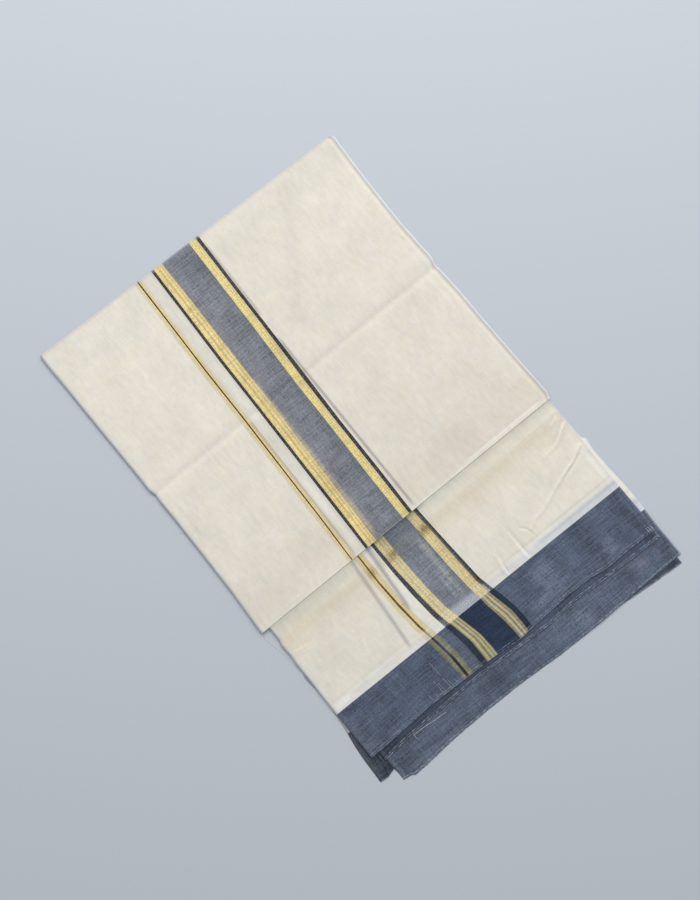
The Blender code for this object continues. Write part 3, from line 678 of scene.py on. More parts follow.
# %% the zones across the loom
Zone = namedtuple("Zone", "name start on_cream on_dark gold soft", defaults=(0.25,))
CREAM, DIM = (227, 222, 210), (81, 91, 110)          # the plain cloth, and its end band
NAVY = (36, 50, 73)
ZONES = [
    # The selvage zones are painted shade, darker and bluer where the selvage hangs away from the
    # lamp.
    Zone("selvage", 0.0, (209, 211, 212), (98, 106, 123), 0.0),
    Zone("selvage edge", 4.4, (223, 222, 213), (92, 100, 117), 0.0, 0.6),
    Zone("cream", 8.0, CREAM, DIM, 0.0, 1.0),
    Zone("thin edge", 193.9, (218, 210, 190), (104, 108, 104), 0.3),
    Zone("thin gold", 196.4, (216, 207, 168), (118, 121, 100), 0.5),
    Zone("thin bright gold", 199.4, (236, 219, 156), (124, 126, 104), 0.7),
    Zone("thin dark", 201.1, (48, 35, 0), (36, 38, 40), 0.0),
    Zone("thin bright gold", 204.0, (232, 214, 150), (124, 126, 104), 0.7),
    Zone("thin gold", 205.6, (218, 207, 167), (118, 121, 100), 0.5),
    Zone("thin edge", 208.0, (219, 210, 190), (104, 108, 104), 0.3),
    Zone("gap", 211.0, (219, 216, 207), (87, 96, 113), 0.0),
    Zone("gap shade", 228.0, (214, 211, 204), (80, 89, 106), 0.0, 1.0),
    Zone("dark", 232.1, (48, 43, 30), (38, 50, 66), 0.0),
    Zone("gold edge", 237.4, (221, 214, 163), (122, 124, 108), 1.0),
    Zone("bright gold", 239.6, (240, 227, 160), (182, 181, 136), 1.0),
    Zone("dull gold", 244.2, (214, 194, 132), (125, 129, 101), 1.0),
    Zone("bright gold", 248.2, (240, 225, 156), (182, 181, 136), 1.0),
    Zone("dull gold", 252.0, (208, 193, 135), (125, 129, 101), 1.0),
    Zone("bright gold", 254.2, (227, 217, 160), (176, 175, 133), 1.0),
    Zone("gold edge", 256.6, (198, 186, 144), (140, 140, 118), 1.0),
    Zone("brown edge", 258.0, (134, 130, 118), NAVY, 0.3),
    Zone("grey", 259.6, (129, 131, 140), NAVY, 0.0),
    Zone("mid grey", 276.0, (121, 125, 134), NAVY, 0.0, 10.0),
    Zone("far grey", 300.0, (114, 119, 129), NAVY, 0.0, 12.0),
    Zone("broad gold", 315.4, (231, 222, 158), (126, 127, 104), 1.0),
    Zone("broad bright gold", 318.4, (241, 230, 154), (182, 180, 146), 1.0),
    Zone("broad dull gold", 321.4, (227, 212, 142), (122, 122, 103), 1.0),
    Zone("broad bright gold", 323.9, (239, 227, 156), (182, 180, 146), 1.0),
    Zone("broad dull gold", 326.3, (215, 206, 147), (124, 124, 104), 1.0),
    Zone("pale gold", 328.3, (222, 216, 168), (130, 129, 108), 1.0),
    Zone("dark again edge", 329.8, (51, 44, 42), (32, 45, 61), 0.0),
    Zone("dark again", 332.0, (51, 44, 42), (32, 45, 61), 0.0),
    Zone("cream again", 336.0, CREAM, DIM, 0.0),
    # Painted light and shade of the groove by the side fold, and a painted highlight on its rim.
    Zone("ridge", 621.5, (228, 223, 211), (86, 96, 115), 0.0, 1.5),
    Zone("groove side", 628.4, (221, 217, 207), (86, 96, 115), 0.0, 0.8),
    Zone("groove", 630.4, (206, 205, 200), (86, 96, 115), 0.0, 0.8),
    Zone("side fold", 633.7, (224, 226, 231), (104, 114, 131), 0.0, 0.6),
]
# The hidden layers' side fold is a painted highlight on their rim.
PLAIN_ZONES = [ZONES[0], ZONES[1], ZONES[2],
               Zone("side fold", 633.6, (217, 216, 217), (126, 134, 154), 0.0, 0.8)]
print(len(ZONES), "zones:", ", ".join(zone.name for zone in ZONES))

# %% [markdown]
# On the lower stretch the gold is paler and the dark lines are greyer, the selvage and the gap
# are lighter, and the groove by the side fold has fainter painted shade and its rim a dimmer
# painted highlight. A second whole table would say most things twice, so only the colours
# that change are listed, by the zone's name.

# %% the lower stretch's zones
LOWER_COLOURS = {
    "gold edge": (210, 207, 167), "bright gold": (222, 217, 172), "dull gold": (204, 197, 154),
    "broad gold": (218, 211, 163), "broad bright gold": (227, 218, 165),
    "broad dull gold": (214, 203, 155), "pale gold": (214, 206, 162), "dark": (60, 62, 67),
    "dark again edge": (108, 106, 97), "dark again": (57, 59, 63), "grey": (121, 128, 139),
    "mid grey": (119, 127, 138), "far grey": (116, 124, 135), "ridge": (229, 225, 213),
    "groove side": (229, 225, 214), "groove": (225, 221, 211), "side fold": (214, 213, 216),
    "thin dark": (100, 88, 64), "gap": (230, 229, 219), "gap shade": (229, 228, 218),
    "selvage": (216, 218, 219),
}
LOWER_ZONES = [zone._replace(on_cream=LOWER_COLOURS.get(zone.name, zone.on_cream))
               for zone in ZONES]
print("zone colours of the lower stretch that differ:", len(LOWER_COLOURS))

# %% [markdown]
# ## Marks on the cloth
# Thin cotton lets the layers below show as soft lines; these are painted show-through, and most
# of the other marks are painted light and shade. They could be painted on an image, but a list
# keeps each one's place and size in metres. A mark runs between two points, fades to nothing at
# its width, and pulls the colour toward its own tint by its strength.

# %% how a mark fades
Mark = namedtuple("Mark", "x0 y0 x1 y1 width strength tint")
MARK_FADE, MARK_PAST = 0.02, 0.004    # a mark fades in this far, and starts this far outside


def mark_share(net, x, y, mark):
    """How close a point is to a straight mark: 1 on it and 0 from its width outward."""
    run_x, run_y = mark.x1 - mark.x0, mark.y1 - mark.y0
    length = math.hypot(run_x, run_y)
    way_x, way_y = run_x / length, run_y / length

    def along(first, second, less):
        both = net.sum("ADD", net.sum("MULTIPLY", x, first), net.sum("MULTIPLY", y, second))
        return net.sum("SUBTRACT", both, less)

    away = net.sum("ABSOLUTE", along(-way_y, way_x, -way_y * mark.x0 + way_x * mark.y0))
    run = along(way_x, way_y, way_x * mark.x0 + way_y * mark.y0)
    fade = min(MARK_FADE, length / 3)
    ends = net.sum("MULTIPLY", net.ease(run, -MARK_PAST, fade),
                   net.ease(run, length + MARK_PAST, length - fade))
    return net.sum("MULTIPLY", net.ease(away, mark.width, 0.0), ends)


print("a mark holds:", ", ".join(Mark._fields))

# %% [markdown]
# Above the tuck most marks are edges of the layers below, which lie a little to one side and
# so show as a second, softer border: painted show-through. They could come from real light
# through the sheet, but that is slow to render and hard to aim, so each is a mark of its own.
# The rest are painted highlights and shade along faint creases and shallow folds, beside the
# side fold and on the tuck's crest, and a few paler places in the border's gap and on the grey.

# %% the marks above the tuck
BELOW = (96, 92, 108)                 # a dark line of the layer below, seen through the cloth
UPPER_MARKS = [
    # Painted show-through of the lines of the layer below, and a paler line in the border's gap.
    Mark(-0.1037, 0.1810, -0.1110, -0.1240, 0.0036, 0.42, (150, 130, 70)),
    Mark(-0.0945, 0.0400, -0.0985, -0.1240, 0.0110, 0.26, (250, 250, 244)),
    Mark(0.0265, 0.2600, 0.0233, -0.1240, 0.0048, 0.50, BELOW),
    Mark(0.0314, 0.4700, 0.0285, 0.3000, 0.0060, 0.36, BELOW),
    Mark(-0.0555, 0.2300, -0.0615, -0.1240, 0.0085, 0.42, (214, 200, 160)),
    # Painted highlights along two faint creases, and painted shade beside the one by the selvage.
    Mark(-0.1925, 0.4800, -0.2025, -0.1240, 0.0026, 0.14, (236, 236, 231)),
    Mark(-0.3035, 0.1500, -0.3040, 0.0720, 0.0030, 0.30, (240, 236, 226)),
    Mark(-0.2950, 0.1500, -0.2955, 0.0720, 0.0036, 0.16, (176, 172, 160)),
    # Broad painted shade, and a painted highlight beside the side fold.
    Mark(0.0540, 0.4650, 0.0500, 0.3900, 0.0200, 0.12, (176, 172, 162)),
    Mark(0.1600, -0.0300, 0.1600, -0.1300, 0.1300, 0.06, (176, 172, 162)),
    Mark(0.3020, 0.1700, 0.3060, -0.0700, 0.0250, 0.08, (236, 233, 224)),
    # Paler lines in the border's gap.
    Mark(-0.0889, 0.3100, -0.0924, 0.1400, 0.0080, 0.24, (242, 240, 228)),
    Mark(-0.0976, 0.0480, -0.1015, -0.1190, 0.0080, 0.32, (240, 239, 229)),
    # Painted shade over a shallow fold, a painted highlight on the tuck's crest, a paler patch.
    Mark(0.2180, 0.4560, 0.0600, 0.2450, 0.0300, 0.12, (160, 156, 146)),
    Mark(0.1345, -0.1196, 0.3142, -0.1204, 0.0045, 0.50, (255, 252, 244)),
    Mark(-0.0280, -0.0580, -0.0270, -0.1180, 0.0200, 0.36, (160, 172, 186)),
]
print(len(UPPER_MARKS), "marks above the tuck")

# %% [markdown]
# Below it there is more to draw: painted shade under the tuck, painted light along the loose
# creases, and paler and darker places in the end band, which are painted light and shade.
# Noise could make such places, but not in the right spots, so these are placed as well.

# %% the marks below the tuck
LOWER_MARKS = [
    # Painted show-through of lines of the layers below, and the lighter columns of the grey.
    Mark(-0.1219, -0.1100, -0.1397, -0.3120, 0.0066, 0.40, BELOW),
    Mark(-0.0868, -0.1100, -0.0985, -0.2620, 0.0070, 0.50, BELOW),
    Mark(0.0272, -0.1262, 0.0298, -0.1890, 0.0040, 0.08, BELOW),
    Mark(-0.0095, -0.1646, -0.0104, -0.2990, 0.0098, 0.32, (186, 190, 186)),
    Mark(-0.0208, -0.2440, -0.0208, -0.2990, 0.0052, 0.30, (186, 194, 200)),
    # The painted shade under the tuck.
    Mark(-0.0700, -0.1400, 0.0100, -0.1404, 0.0170, 0.30, (56, 62, 72)),
    Mark(-0.1000, -0.1275, 0.0400, -0.1282, 0.0070, 0.42, (40, 46, 54)),
    Mark(-0.3100, -0.1400, -0.1300, -0.1404, 0.0170, 0.07, (150, 150, 140)),
    Mark(-0.0837, -0.1270, -0.0837, -0.1770, 0.0075, 0.24, (146, 152, 158)),
    # Painted light on the creases and by the side fold, painted shade by the fan, two paler strips.
    Mark(0.3160, -0.1745, 0.2900, -0.1935, 0.0022, 0.55, (250, 247, 236)),
    Mark(0.3120, -0.1700, 0.2880, -0.1880, 0.0060, 0.08, (130, 118, 100)),
    Mark(0.3130, -0.1800, 0.2850, -0.1965, 0.0026, 0.18, (120, 112, 100)),
    Mark(0.2760, -0.1961, 0.2500, -0.1975, 0.0030, 0.06, (250, 247, 236)),
    Mark(0.0790, -0.2830, 0.0734, -0.3190, 0.0026, 0.45, (250, 248, 240)),
    Mark(0.1188, -0.2520, 0.1192, -0.3190, 0.0028, 0.34, (250, 248, 240)),
    Mark(0.1388, -0.2690, 0.1478, -0.2830, 0.0028, 0.16, (250, 248, 240)),
    Mark(0.3000, -0.1300, 0.3010, -0.2030, 0.0150, 0.24, (236, 240, 244)),
    Mark(0.3107, -0.2380, 0.3116, -0.3000, 0.0060, 0.32, (252, 250, 242)),
    Mark(0.0780, -0.3076, 0.1560, -0.3090, 0.0085, 0.36, (240, 243, 246)),
    Mark(-0.3110, -0.3066, -0.2660, -0.3066, 0.0085, 0.70, (244, 244, 242)),
    # Painted light and shade in the end band, and a painted shadow under the face's cut end.
    Mark(0.0594, -0.3915, 0.1135, -0.3915, 0.0140, 0.20, (150, 162, 180)),
    Mark(-0.3035, -0.3300, -0.3035, -0.4050, 0.0090, 0.14, (150, 158, 172)),
    Mark(-0.2058, -0.4124, -0.1360, -0.4124, 0.0110, 0.42, (34, 42, 56)),
    Mark(0.1170, -0.3300, 0.1340, -0.4120, 0.0350, 0.44, (132, 144, 166)),
    Mark(0.3003, -0.3420, 0.3003, -0.4120, 0.0170, 0.45, (50, 56, 68)),
    Mark(0.2390, -0.3740, 0.2390, -0.4120, 0.0220, 0.28, (130, 140, 160)),
    Mark(-0.2965, -0.3800, -0.2965, -0.4120, 0.0220, 0.20, (130, 140, 160)),
    Mark(-0.1850, -0.3950, -0.0800, -0.3950, 0.0130, 0.26, (40, 48, 62)),
    Mark(-0.0941, -0.3180, -0.0900, -0.3700, 0.0120, 0.24, (150, 158, 172)),
]
print(len(LOWER_MARKS), "marks below the tuck")

# %% [markdown]
# The two lowest layers show only their end bands and, at the left, a corner that stands out
# with a few short folds in it. Modelling those folds to the millimetre would need a far finer
# grid there, so painted shade and painted highlights, dark and pale lines beside each other,
# stand for them, with painted shadow where the layers above overhang the corner. The third
# layer's end band has paler and darker places of painted light and shade as well.

# %% the marks on the two lowest layers
THIRD_MARKS = [
    # Painted light and shade in the third layer's end band.
    Mark(-0.1100, -0.4460, 0.0000, -0.4470, 0.0200, 0.36, (50, 60, 78)),
    Mark(-0.0453, -0.4400, -0.0453, -0.4700, 0.0180, 0.26, (50, 60, 78)),
    Mark(0.2357, -0.4368, 0.2357, -0.4760, 0.0170, 0.48, (54, 58, 74)),
    Mark(0.3003, -0.4330, 0.3003, -0.4480, 0.0130, 0.50, (54, 58, 74)),
    Mark(0.1170, -0.4400, 0.1345, -0.4800, 0.0340, 0.32, (140, 152, 172)),
    Mark(0.2560, -0.4490, 0.2820, -0.4570, 0.0180, 0.22, (140, 128, 150)),
    Mark(-0.2800, -0.4750, -0.1400, -0.4700, 0.0100, 0.16, (140, 150, 168)),
]
FOURTH_MARKS = [
    # Painted shadow, shade and highlights on the fourth layer's corner and its folds.
    Mark(-0.3070, -0.4080, -0.3067, -0.4351, 0.0022, 0.75, (26, 34, 48)),
    Mark(-0.3030, -0.4120, -0.3030, -0.4334, 0.0016, 0.45, (120, 130, 146)),
    Mark(-0.2994, -0.4100, -0.2990, -0.4351, 0.0020, 0.70, (26, 34, 48)),
    Mark(-0.3061, -0.4340, -0.3149, -0.4600, 0.0021, 0.75, (24, 32, 46)),
    Mark(-0.3005, -0.4386, -0.3020, -0.4560, 0.0066, 0.60, (34, 46, 62)),
    Mark(-0.3330, -0.4578, -0.3157, -0.4585, 0.0018, 0.50, (176, 182, 192)),
    Mark(-0.3210, -0.3862, -0.3220, -0.4473, 0.0080, 0.25, (128, 128, 126)),
]
print(len(THIRD_MARKS), "marks on the third layer and", len(FOURTH_MARKS), "on the fourth")

# %% [markdown]
# ## What makes the threads uneven
# No thread is even. Thick and thin places in the weft show as short streaks across, and the
# warp gives finer lines along the cloth; both show most where the colour is dark. Slack and
# tight places, and starch that dried unevenly, leave softer patches. One noise can't be all
# of that. Each row below is a noise of its own, in spots per metre across the loom and along
# it, and how strongly it shows.

# %% the unevenness
Uneven = namedtuple("Uneven", "name across along detail on_cream on_dark")
UNEVEN = [
    Uneven("weft streaks", 22, 330, 3.0, 0.06, 1.10),
    Uneven("warp lines", 420, 14, 3.0, 0.06, 0.55),
    Uneven("slack patches", 22, 17, 3.0, 0.16, 0.80),
    Uneven("single threads", 300, 300, 2.0, 0.08, 1.00),
    Uneven("soft spots", 130, 55, 2.0, 0.14, 0.35),
]
Place = namedtuple("Place", "warp weft x y")


def cloth_place(net):
    """Where a point is on the loom, across and along, and on the table."""
    loom = net.add("SeparateXYZ", net.add("UVMap", uv_map="cloth").outputs[0])
    table = net.add("SeparateXYZ", net.add("TexCoord").outputs["Object"])
    return Place(loom.outputs[0], loom.outputs[1], table.outputs[0], table.outputs[1])


def uneven_tone(net, at, dark):
    """How much lighter or darker each place is, and the first two noises for the bump."""
    tone, noises = 1.0, []
    for row in UNEVEN:
        noises.append(net.noise(at.warp, at.weft, row.across, row.along, row.detail))
        strength = net.ease(dark, 0.0, 1.0, row.on_cream, row.on_dark)
        tone = net.sum("ADD", tone, net.sum("MULTIPLY", noises[-1], strength))
    return tone, noises[0], noises[1]


print("kinds of unevenness:", ", ".join(row.name for row in UNEVEN))

# %% [markdown]
# The weave itself is a plain one: each thread goes over one and under the next. With half a
# millimetre from thread to thread, as geometry it would be millions of faces. Two waves, one
# across and one along, give the same little hills as bump, and the two strongest noises are
# felt in it too.

# %% the weave's bump
THREAD = 0.0005                       # from one thread to the next
WEAVE_DEPTH, STREAK_DEPTH, LINE_DEPTH = 0.00002, 0.00010, 0.00008
BUMP_SHARE = 0.7


def weave_bump(net, at, streaks, lines):
    """The plain weave, with its thick and thin threads."""
    warp_wave = net.sum("SINE", net.sum("MULTIPLY", at.warp, 2 * math.pi / THREAD))
    weft_wave = net.sum("SINE", net.sum("MULTIPLY", at.weft, 2 * math.pi / THREAD))
    height = net.sum("MULTIPLY", net.sum("MULTIPLY", warp_wave, weft_wave), WEAVE_DEPTH)
    height = net.sum("ADD", height, net.sum("MULTIPLY", streaks, STREAK_DEPTH))
    height = net.sum("ADD", height, net.sum("MULTIPLY", lines, LINE_DEPTH))
    bump = net.add("Bump")
    bump.inputs["Distance"].default_value = 1.0
    bump.inputs["Strength"].default_value = BUMP_SHARE
    net.join(height, bump.inputs["Height"])
    return bump.outputs[0]


print("threads to the centimetre:", round(0.01 / THREAD))

# %% [markdown]
# ## The weave's two wefts
# Three small steps turn the zone table into a colour. The first reads it for both wefts. A
# colour ramp would be the usual way, but it holds only 32 stops, and there are more zones
# than that, so one blend follows another across the loom. The gold zones are kept as a mask
# too, because only they shine.

# %% colours from the zones
def in_turn(net, shares, colours):
    """The first colour, then the next one past each step."""
    found = colours[0]
    for share, colour in zip(shares, colours[1:]):
        found = net.blend(share, found, colour)
    return found


def zone_colours(net, at, zones, dark_weft):
    """The colour over the cream weft and over the dark one, and how golden each place is."""
    past = [net.ease(at.warp, (zone.start - zone.soft) / 1000, (zone.start + zone.soft) / 1000)
            for zone in zones[1:]]
    shift = [value - base for value, base in zip(dark_weft, DIM)]
    on_cream = in_turn(net, past, [seen(*zone.on_cream) for zone in zones])
    on_dark = in_turn(net, past, [seen(*(part + move for part, move in zip(zone.on_dark, shift)))
                                  for zone in zones])
    golden = 0.0
    for share, before, after in zip(past, zones, zones[1:]):
        if before.gold != after.gold:
            change = net.sum("MULTIPLY", share, after.gold - before.gold)
            golden = net.sum("ADD", golden, change)
    return on_cream, on_dark, golden


print("golden zones:", sum(zone.gold > 0 for zone in ZONES))

# %% [markdown]
# The second step opens the weave over the last two centimetres before the dark band. The
# weaver beat the weft in less there, so the cloth looks whiter, more so toward the side fold,
# and a few ribs run across. It could be one more zone, but it fades in, and the border's dark
# lines stay dark through it, so it is mixed in by how light the cloth already is.

# %% the open weave before the band
Rib = namedtuple("Rib", "name weft slide half left right tint")
# Painted shade in the dip and after the bright rib, and a painted highlight on the rib.
RIBS = [
    Rib("dip", -0.0218, 0.0033, 0.0046, 0.08, 0.34, (186, 190, 186)),
    Rib("bright rib", -0.0160, 0.0068, 0.0038, 0.55, 0.16, (231, 230, 221)),
    Rib("shade", -0.0112, 0.0, 0.0050, 0.08, 0.46, (178, 182, 186)),
    Rib("last threads", -0.0008, 0.0, 0.0026, 0.25, 0.30, (216, 224, 234)),
]
WHITER_LEFT, WHITER_RIGHT, WHITER_GOLD = (221, 226, 230), (192, 202, 218), (229, 222, 172)


def open_weave(net, at, colour, golden):
    """The two whiter centimetres before the dark band, with their ribs."""
    light = net.add("RGBToBW", colour).outputs[0]
    plain = net.ease(light, 0.25, 0.55)
    inside = net.ease(at.weft, net.ease(plain, 0.0, 1.0, -0.0235, -0.0205), -0.0115)
    rightward = net.ease(at.warp, 0.22, 0.60)
    grain = net.noise(at.warp, at.weft, 520, 520, 1.0)
    dim_share = net.sum("MULTIPLY", net.ease(light, 0.03, 0.15, 0.13, 0.42),
                        net.ease(grain, -0.15, 0.15, 0.60, 1.38))
    cream_share = net.ease(rightward, 0.0, 1.0, 0.34, 0.60)
    more = net.sum("MULTIPLY", plain, net.sum("SUBTRACT", cream_share, dim_share))
    share = net.sum("MULTIPLY", net.sum("ADD", dim_share, more), inside)
    share = net.sum("MULTIPLY", share, net.sum("SUBTRACT", 1.0, golden))
    whiter = net.blend(rightward, seen(*WHITER_LEFT), seen(*WHITER_RIGHT))
    colour = net.blend(share, colour, whiter)
    gold_share = net.sum("MULTIPLY", net.sum("MULTIPLY", golden, inside), 0.6)
    colour = net.blend(gold_share, colour, seen(*WHITER_GOLD))
    for rib in RIBS:
        place = net.sum("ADD", at.weft, net.sum("MULTIPLY", at.warp, rib.slide))
        share = net.sum("MULTIPLY", net.near(place, rib.weft, rib.half), plain)
        share = net.sum("MULTIPLY", share, net.ease(rightward, 0.0, 1.0, rib.left, rib.right))
        colour = net.blend(share, colour, seen(*rib.tint))
    return colour


print("ribs before the band:", ", ".join(rib.name for rib in RIBS))

# %% [markdown]
# The third step lays the dark weft over it all, past the band's edge. On the loom the change
# is from one throw of the shuttle to the next, so a soft blend would be wrong. The edge is
# sharp and only shivers with the thick and thin threads. Before it, stray cream threads show
# as flecks on the dark warp.

# %% the dark weft
FLECK = (150, 156, 168)


def dark_weave(net, at, colour, on_dark, streaks):
    """The dark weft past the band's edge, and cream flecks on the dark warp before it."""
    light = net.add("RGBToBW", colour).outputs[0]
    fleck = net.noise(at.warp, at.weft, 640, 560, 1.0)
    share = net.sum("MULTIPLY", net.ease(fleck, 0.02, 0.20, 0.0, 0.40),
                    net.ease(light, 0.10, 0.03))
    colour = net.blend(share, colour, seen(*FLECK))
    edge = net.sum("ADD", at.weft, net.sum("MULTIPLY", streaks, 0.0008))
    return net.blend(net.ease(edge, -0.0008, 0.0001), colour, on_dark)


print("flecks on the dark warp:", FLECK)

# %% [markdown]
# ## Gold thread
# The gold is flat thread wound on a core and woven in as ropes. Between the ropes it is
# darker, and where it was folded hard the gold has rubbed off the core in specks. Real ropes
# would need ten columns to each, so a wave across the loom and two noises draw them instead,
# only where the mask says gold.

# %% the gold's ropes and where they are rubbed
Rub = namedtuple("Rub", "weft half share")
ROPE = 0.0011                         # from one rope to the next
ROPE_SHADE, BARE_CORE = (190, 154, 104), (136, 118, 86)


def gold_ropes(net, at, colour, golden):
    """Darker lines between the ropes, fainter where the dark weft crosses them."""
    ropes = net.sum("SINE", net.sum("MULTIPLY", at.warp, 2 * math.pi / ROPE))
    knots = net.noise(at.warp, at.weft, 380, 420)
    share = net.sum("ADD", net.ease(ropes, -1.0, 1.0, 0.12, 0.0),
                    net.ease(knots, -0.16, 0.10, 0.52, 0.0))
    share = net.sum("MULTIPLY", share, golden)
    share = net.sum("MULTIPLY", share, net.ease(at.weft, -0.003, 0.003, 1.0, 0.45))
    return net.blend(share, colour, seen(*ROPE_SHADE))


def rubbed_gold(net, at, colour, golden, rubs):
    """The core showing through in specks."""
    for rub in rubs:
        share = net.sum("MULTIPLY", net.near(at.weft, rub.weft, rub.half), rub.share)
        share = net.sum("MULTIPLY", share, golden)
        worn = net.noise(at.warp, at.weft, 700, 60, 2.0)
        share = net.sum("MULTIPLY", share, net.ease(worn, -0.15, 0.12, 0.35, 1.25))
        colour = net.blend(share, colour, seen(*BARE_CORE))
    return colour


print("a gold rope every", ROPE * 1000, "mm")

# %% [markdown]
# ## Tints and lines along the cloth
# Some things change only along the length. Painted long soft shadows do, and a colour ramp
# suits them, since it multiplies by one tint after another. So do the painted shade and
# highlight on the folds' crests and the loose threads at a cut, which are thin lines along the
# weft. Both could be marks, but they follow the threads, and a mark is straight on the table.

# %% tints and lines along the cloth
WeftLine = namedtuple("WeftLine", "weft half share tint broken", defaults=(False,))
Tint = namedtuple("Tint", "weft colour")


def tint_along(net, at, tints, colour, held):
    """Multiply by the tints along the length, less where held is more."""
    first, last = tints[0].weft, tints[-1].weft
    place = net.sum("DIVIDE", net.sum("SUBTRACT", at.weft, first), last - first)
    ramp = net.add("ValToRGB", place)
    ramp.color_ramp.elements.remove(ramp.color_ramp.elements[1])
    ramp.color_ramp.elements[0].position = 0.0
    ramp.color_ramp.elements[0].color = tints[0].colour + (1.0,)
    for tint in tints[1:]:
        step = ramp.color_ramp.elements.new((tint.weft - first) / (last - first))
        step.color = tint.colour + (1.0,)
    tint = net.blend(held, ramp.outputs[0], (1.0, 1.0, 1.0, 1.0))
    return net.add("VectorMath", colour, tint, operation="MULTIPLY").outputs[0]


def weft_lines(net, at, colour, lines):
    """Fold crests' painted shade and highlight, and a cut's loose threads; a broken line has gaps
    in it.
    """
    for line in lines:
        share = net.sum("MULTIPLY", net.near(at.weft, line.weft, line.half), line.share)
        if line.broken:
            gaps = net.noise(at.warp, at.weft, 130, 420)
            share = net.sum("MULTIPLY", share, net.ease(gaps, -0.08, 0.18, 0.18, 1.35))
        colour = net.blend(share, colour, seen(*line.tint))
    return colour


print("a tint has", Tint._fields, "and a line", WeftLine._fields)

# %% [markdown]
# ## The cotton's finish
# The finish puts it all together: the weave's colour, gold ropes, marks, rubbed gold, uneven
# threads, tints and lines. Washed cotton isn't quite one hue, so warmer and cooler patches lie
# over it. An image of cloth would be quicker, but it would repeat, and its stripes wouldn't
# follow these threads. The cotton is rough with a faint nap, and only the gold shines.

# %% the finish of a sheet
COOLER, WARMER = (0.99, 1.0, 1.022, 1.0), (1.01, 1.0, 0.978, 1.0)
COTTON_ROUGH, GOLD_ROUGH = 0.88, 0.46


def washed(net, at, colour, tone):
    """The colour at its tone, with warmer and cooler patches."""
    toned = net.add("VectorMath", colour, operation="SCALE")
    net.join(tone, toned.inputs["Scale"])
    patch = net.noise(at.warp, at.weft, 75, 40, 3.0)
    hue = net.blend(net.ease(patch, -0.28, 0.28), COOLER, WARMER)
    return net.add("VectorMath", toned.outputs[0], hue, operation="MULTIPLY").outputs[0]


def cotton(name, zones, dark_weft, lines=(), marks=(), rubs=(), tints=(), tints_on_dark=1.0,
           sides=(1.0, 1.0)):
    """A sheet's finish. dark_weft is the end band's colour where the warp is cream."""
    net = Net(name)
    at = cloth_place(net)
    first = UNEVEN[0]
    edge_streaks = net.noise(at.warp, at.weft, first.across, first.along, first.detail)
    on_cream, on_dark, golden = zone_colours(net, at, zones, dark_weft)
    colour = open_weave(net, at, on_cream, golden)
    colour = dark_weave(net, at, colour, on_dark, edge_streaks)
    colour = gold_ropes(net, at, colour, golden)

    light = net.add("RGBToBW", colour).outputs[0]
    dark = net.sum("MAXIMUM", net.ease(light, 0.42, 0.10), net.sum("MULTIPLY", golden, 0.42))
    for mark in marks:
        share = net.sum("MULTIPLY", mark_share(net, at.x, at.y, mark), mark.strength)
        colour = net.blend(share, colour, seen(*mark.tint))
    colour = rubbed_gold(net, at, colour, golden, rubs)
    tone, weft_streaks, warp_lines = uneven_tone(net, at, dark)
    # sides is painted light and shade: the brightness changes from the left side to the right.
    tone = net.sum("MULTIPLY", tone, net.ease(at.warp, 0.10, 0.40, *sides))
    colour = washed(net, at, colour, tone)
    if tints:
        held = net.sum("MULTIPLY", net.sum("MAXIMUM", dark, golden), 1.0 - tints_on_dark)
        colour = tint_along(net, at, tints, colour, held)
    colour = weft_lines(net, at, colour, lines)

    net.join(colour, net.shader.inputs["Base Color"])
    net.join(net.ease(golden, 0.0, 1.0, COTTON_ROUGH, GOLD_ROUGH), net.shader.inputs["Roughness"])
    net.join(weave_bump(net, at, weft_streaks, warp_lines), net.shader.inputs["Normal"])
    net.shader.inputs["Specular IOR Level"].default_value = 0.25
    net.shader.inputs["Sheen Weight"].default_value = 0.08
    net.shader.inputs["Sheen Roughness"].default_value = 0.6
    print(name, "has", len(net.tree.nodes), "nodes")
    return net.material


print("roughness:", COTTON_ROUGH, "for cotton and", GOLD_ROUGH, "for gold")

# %% [markdown]
# Five sheets need five finishes, and one function makes them all from tables. The tints are
# painted shadow: long soft shadows toward the tuck on the upper stretch and out from under it
# on the lower one, and a darker strip below the top fold, with a painted highlight just before
# the tuck's edge. The lamp throws part of them, but it can't show how the real stack swells
# there.

# %% the face's tints
# Painted shade below the top fold and toward the tuck, and a painted highlight before its edge.
UPPER_TINTS = [
    Tint(-0.800, (0.96, 0.96, 0.965)), Tint(-0.765, (0.95, 0.955, 0.955)),
    Tint(-0.740, (0.985, 0.985, 0.98)), Tint(-0.300, (0.985, 0.98, 0.975)),
    Tint(-0.262, (0.965, 0.947, 0.937)), Tint(-0.226, (0.935, 0.91, 0.895)),
    Tint(-0.2075, (0.945, 0.925, 0.915)), Tint(-0.2010, (1.03, 1.02, 1.015)),
    Tint(-0.1960, (1.05, 1.045, 1.04)), Tint(-0.193, (1.0, 1.0, 1.0)),
]
# Painted shadow coming out from under the tuck.
LOWER_TINTS = [
    Tint(-0.1925, (0.76, 0.765, 0.74)), Tint(-0.1870, (0.80, 0.81, 0.79)),
    Tint(-0.1836, (0.86, 0.87, 0.85)), Tint(-0.1780, (0.90, 0.905, 0.885)),
    Tint(-0.1690, (0.935, 0.925, 0.89)), Tint(-0.1610, (0.925, 0.89, 0.825)),
    Tint(-0.1535, (0.93, 0.895, 0.835)), Tint(-0.1450, (0.95, 0.92, 0.875)),
    Tint(-0.1360, (0.965, 0.935, 0.905)), Tint(-0.1180, (0.99, 0.98, 0.97)),
    Tint(-0.0900, (0.985, 0.985, 0.985)),
]
print(len(UPPER_TINTS), "tints above the tuck and", len(LOWER_TINTS), "below it")

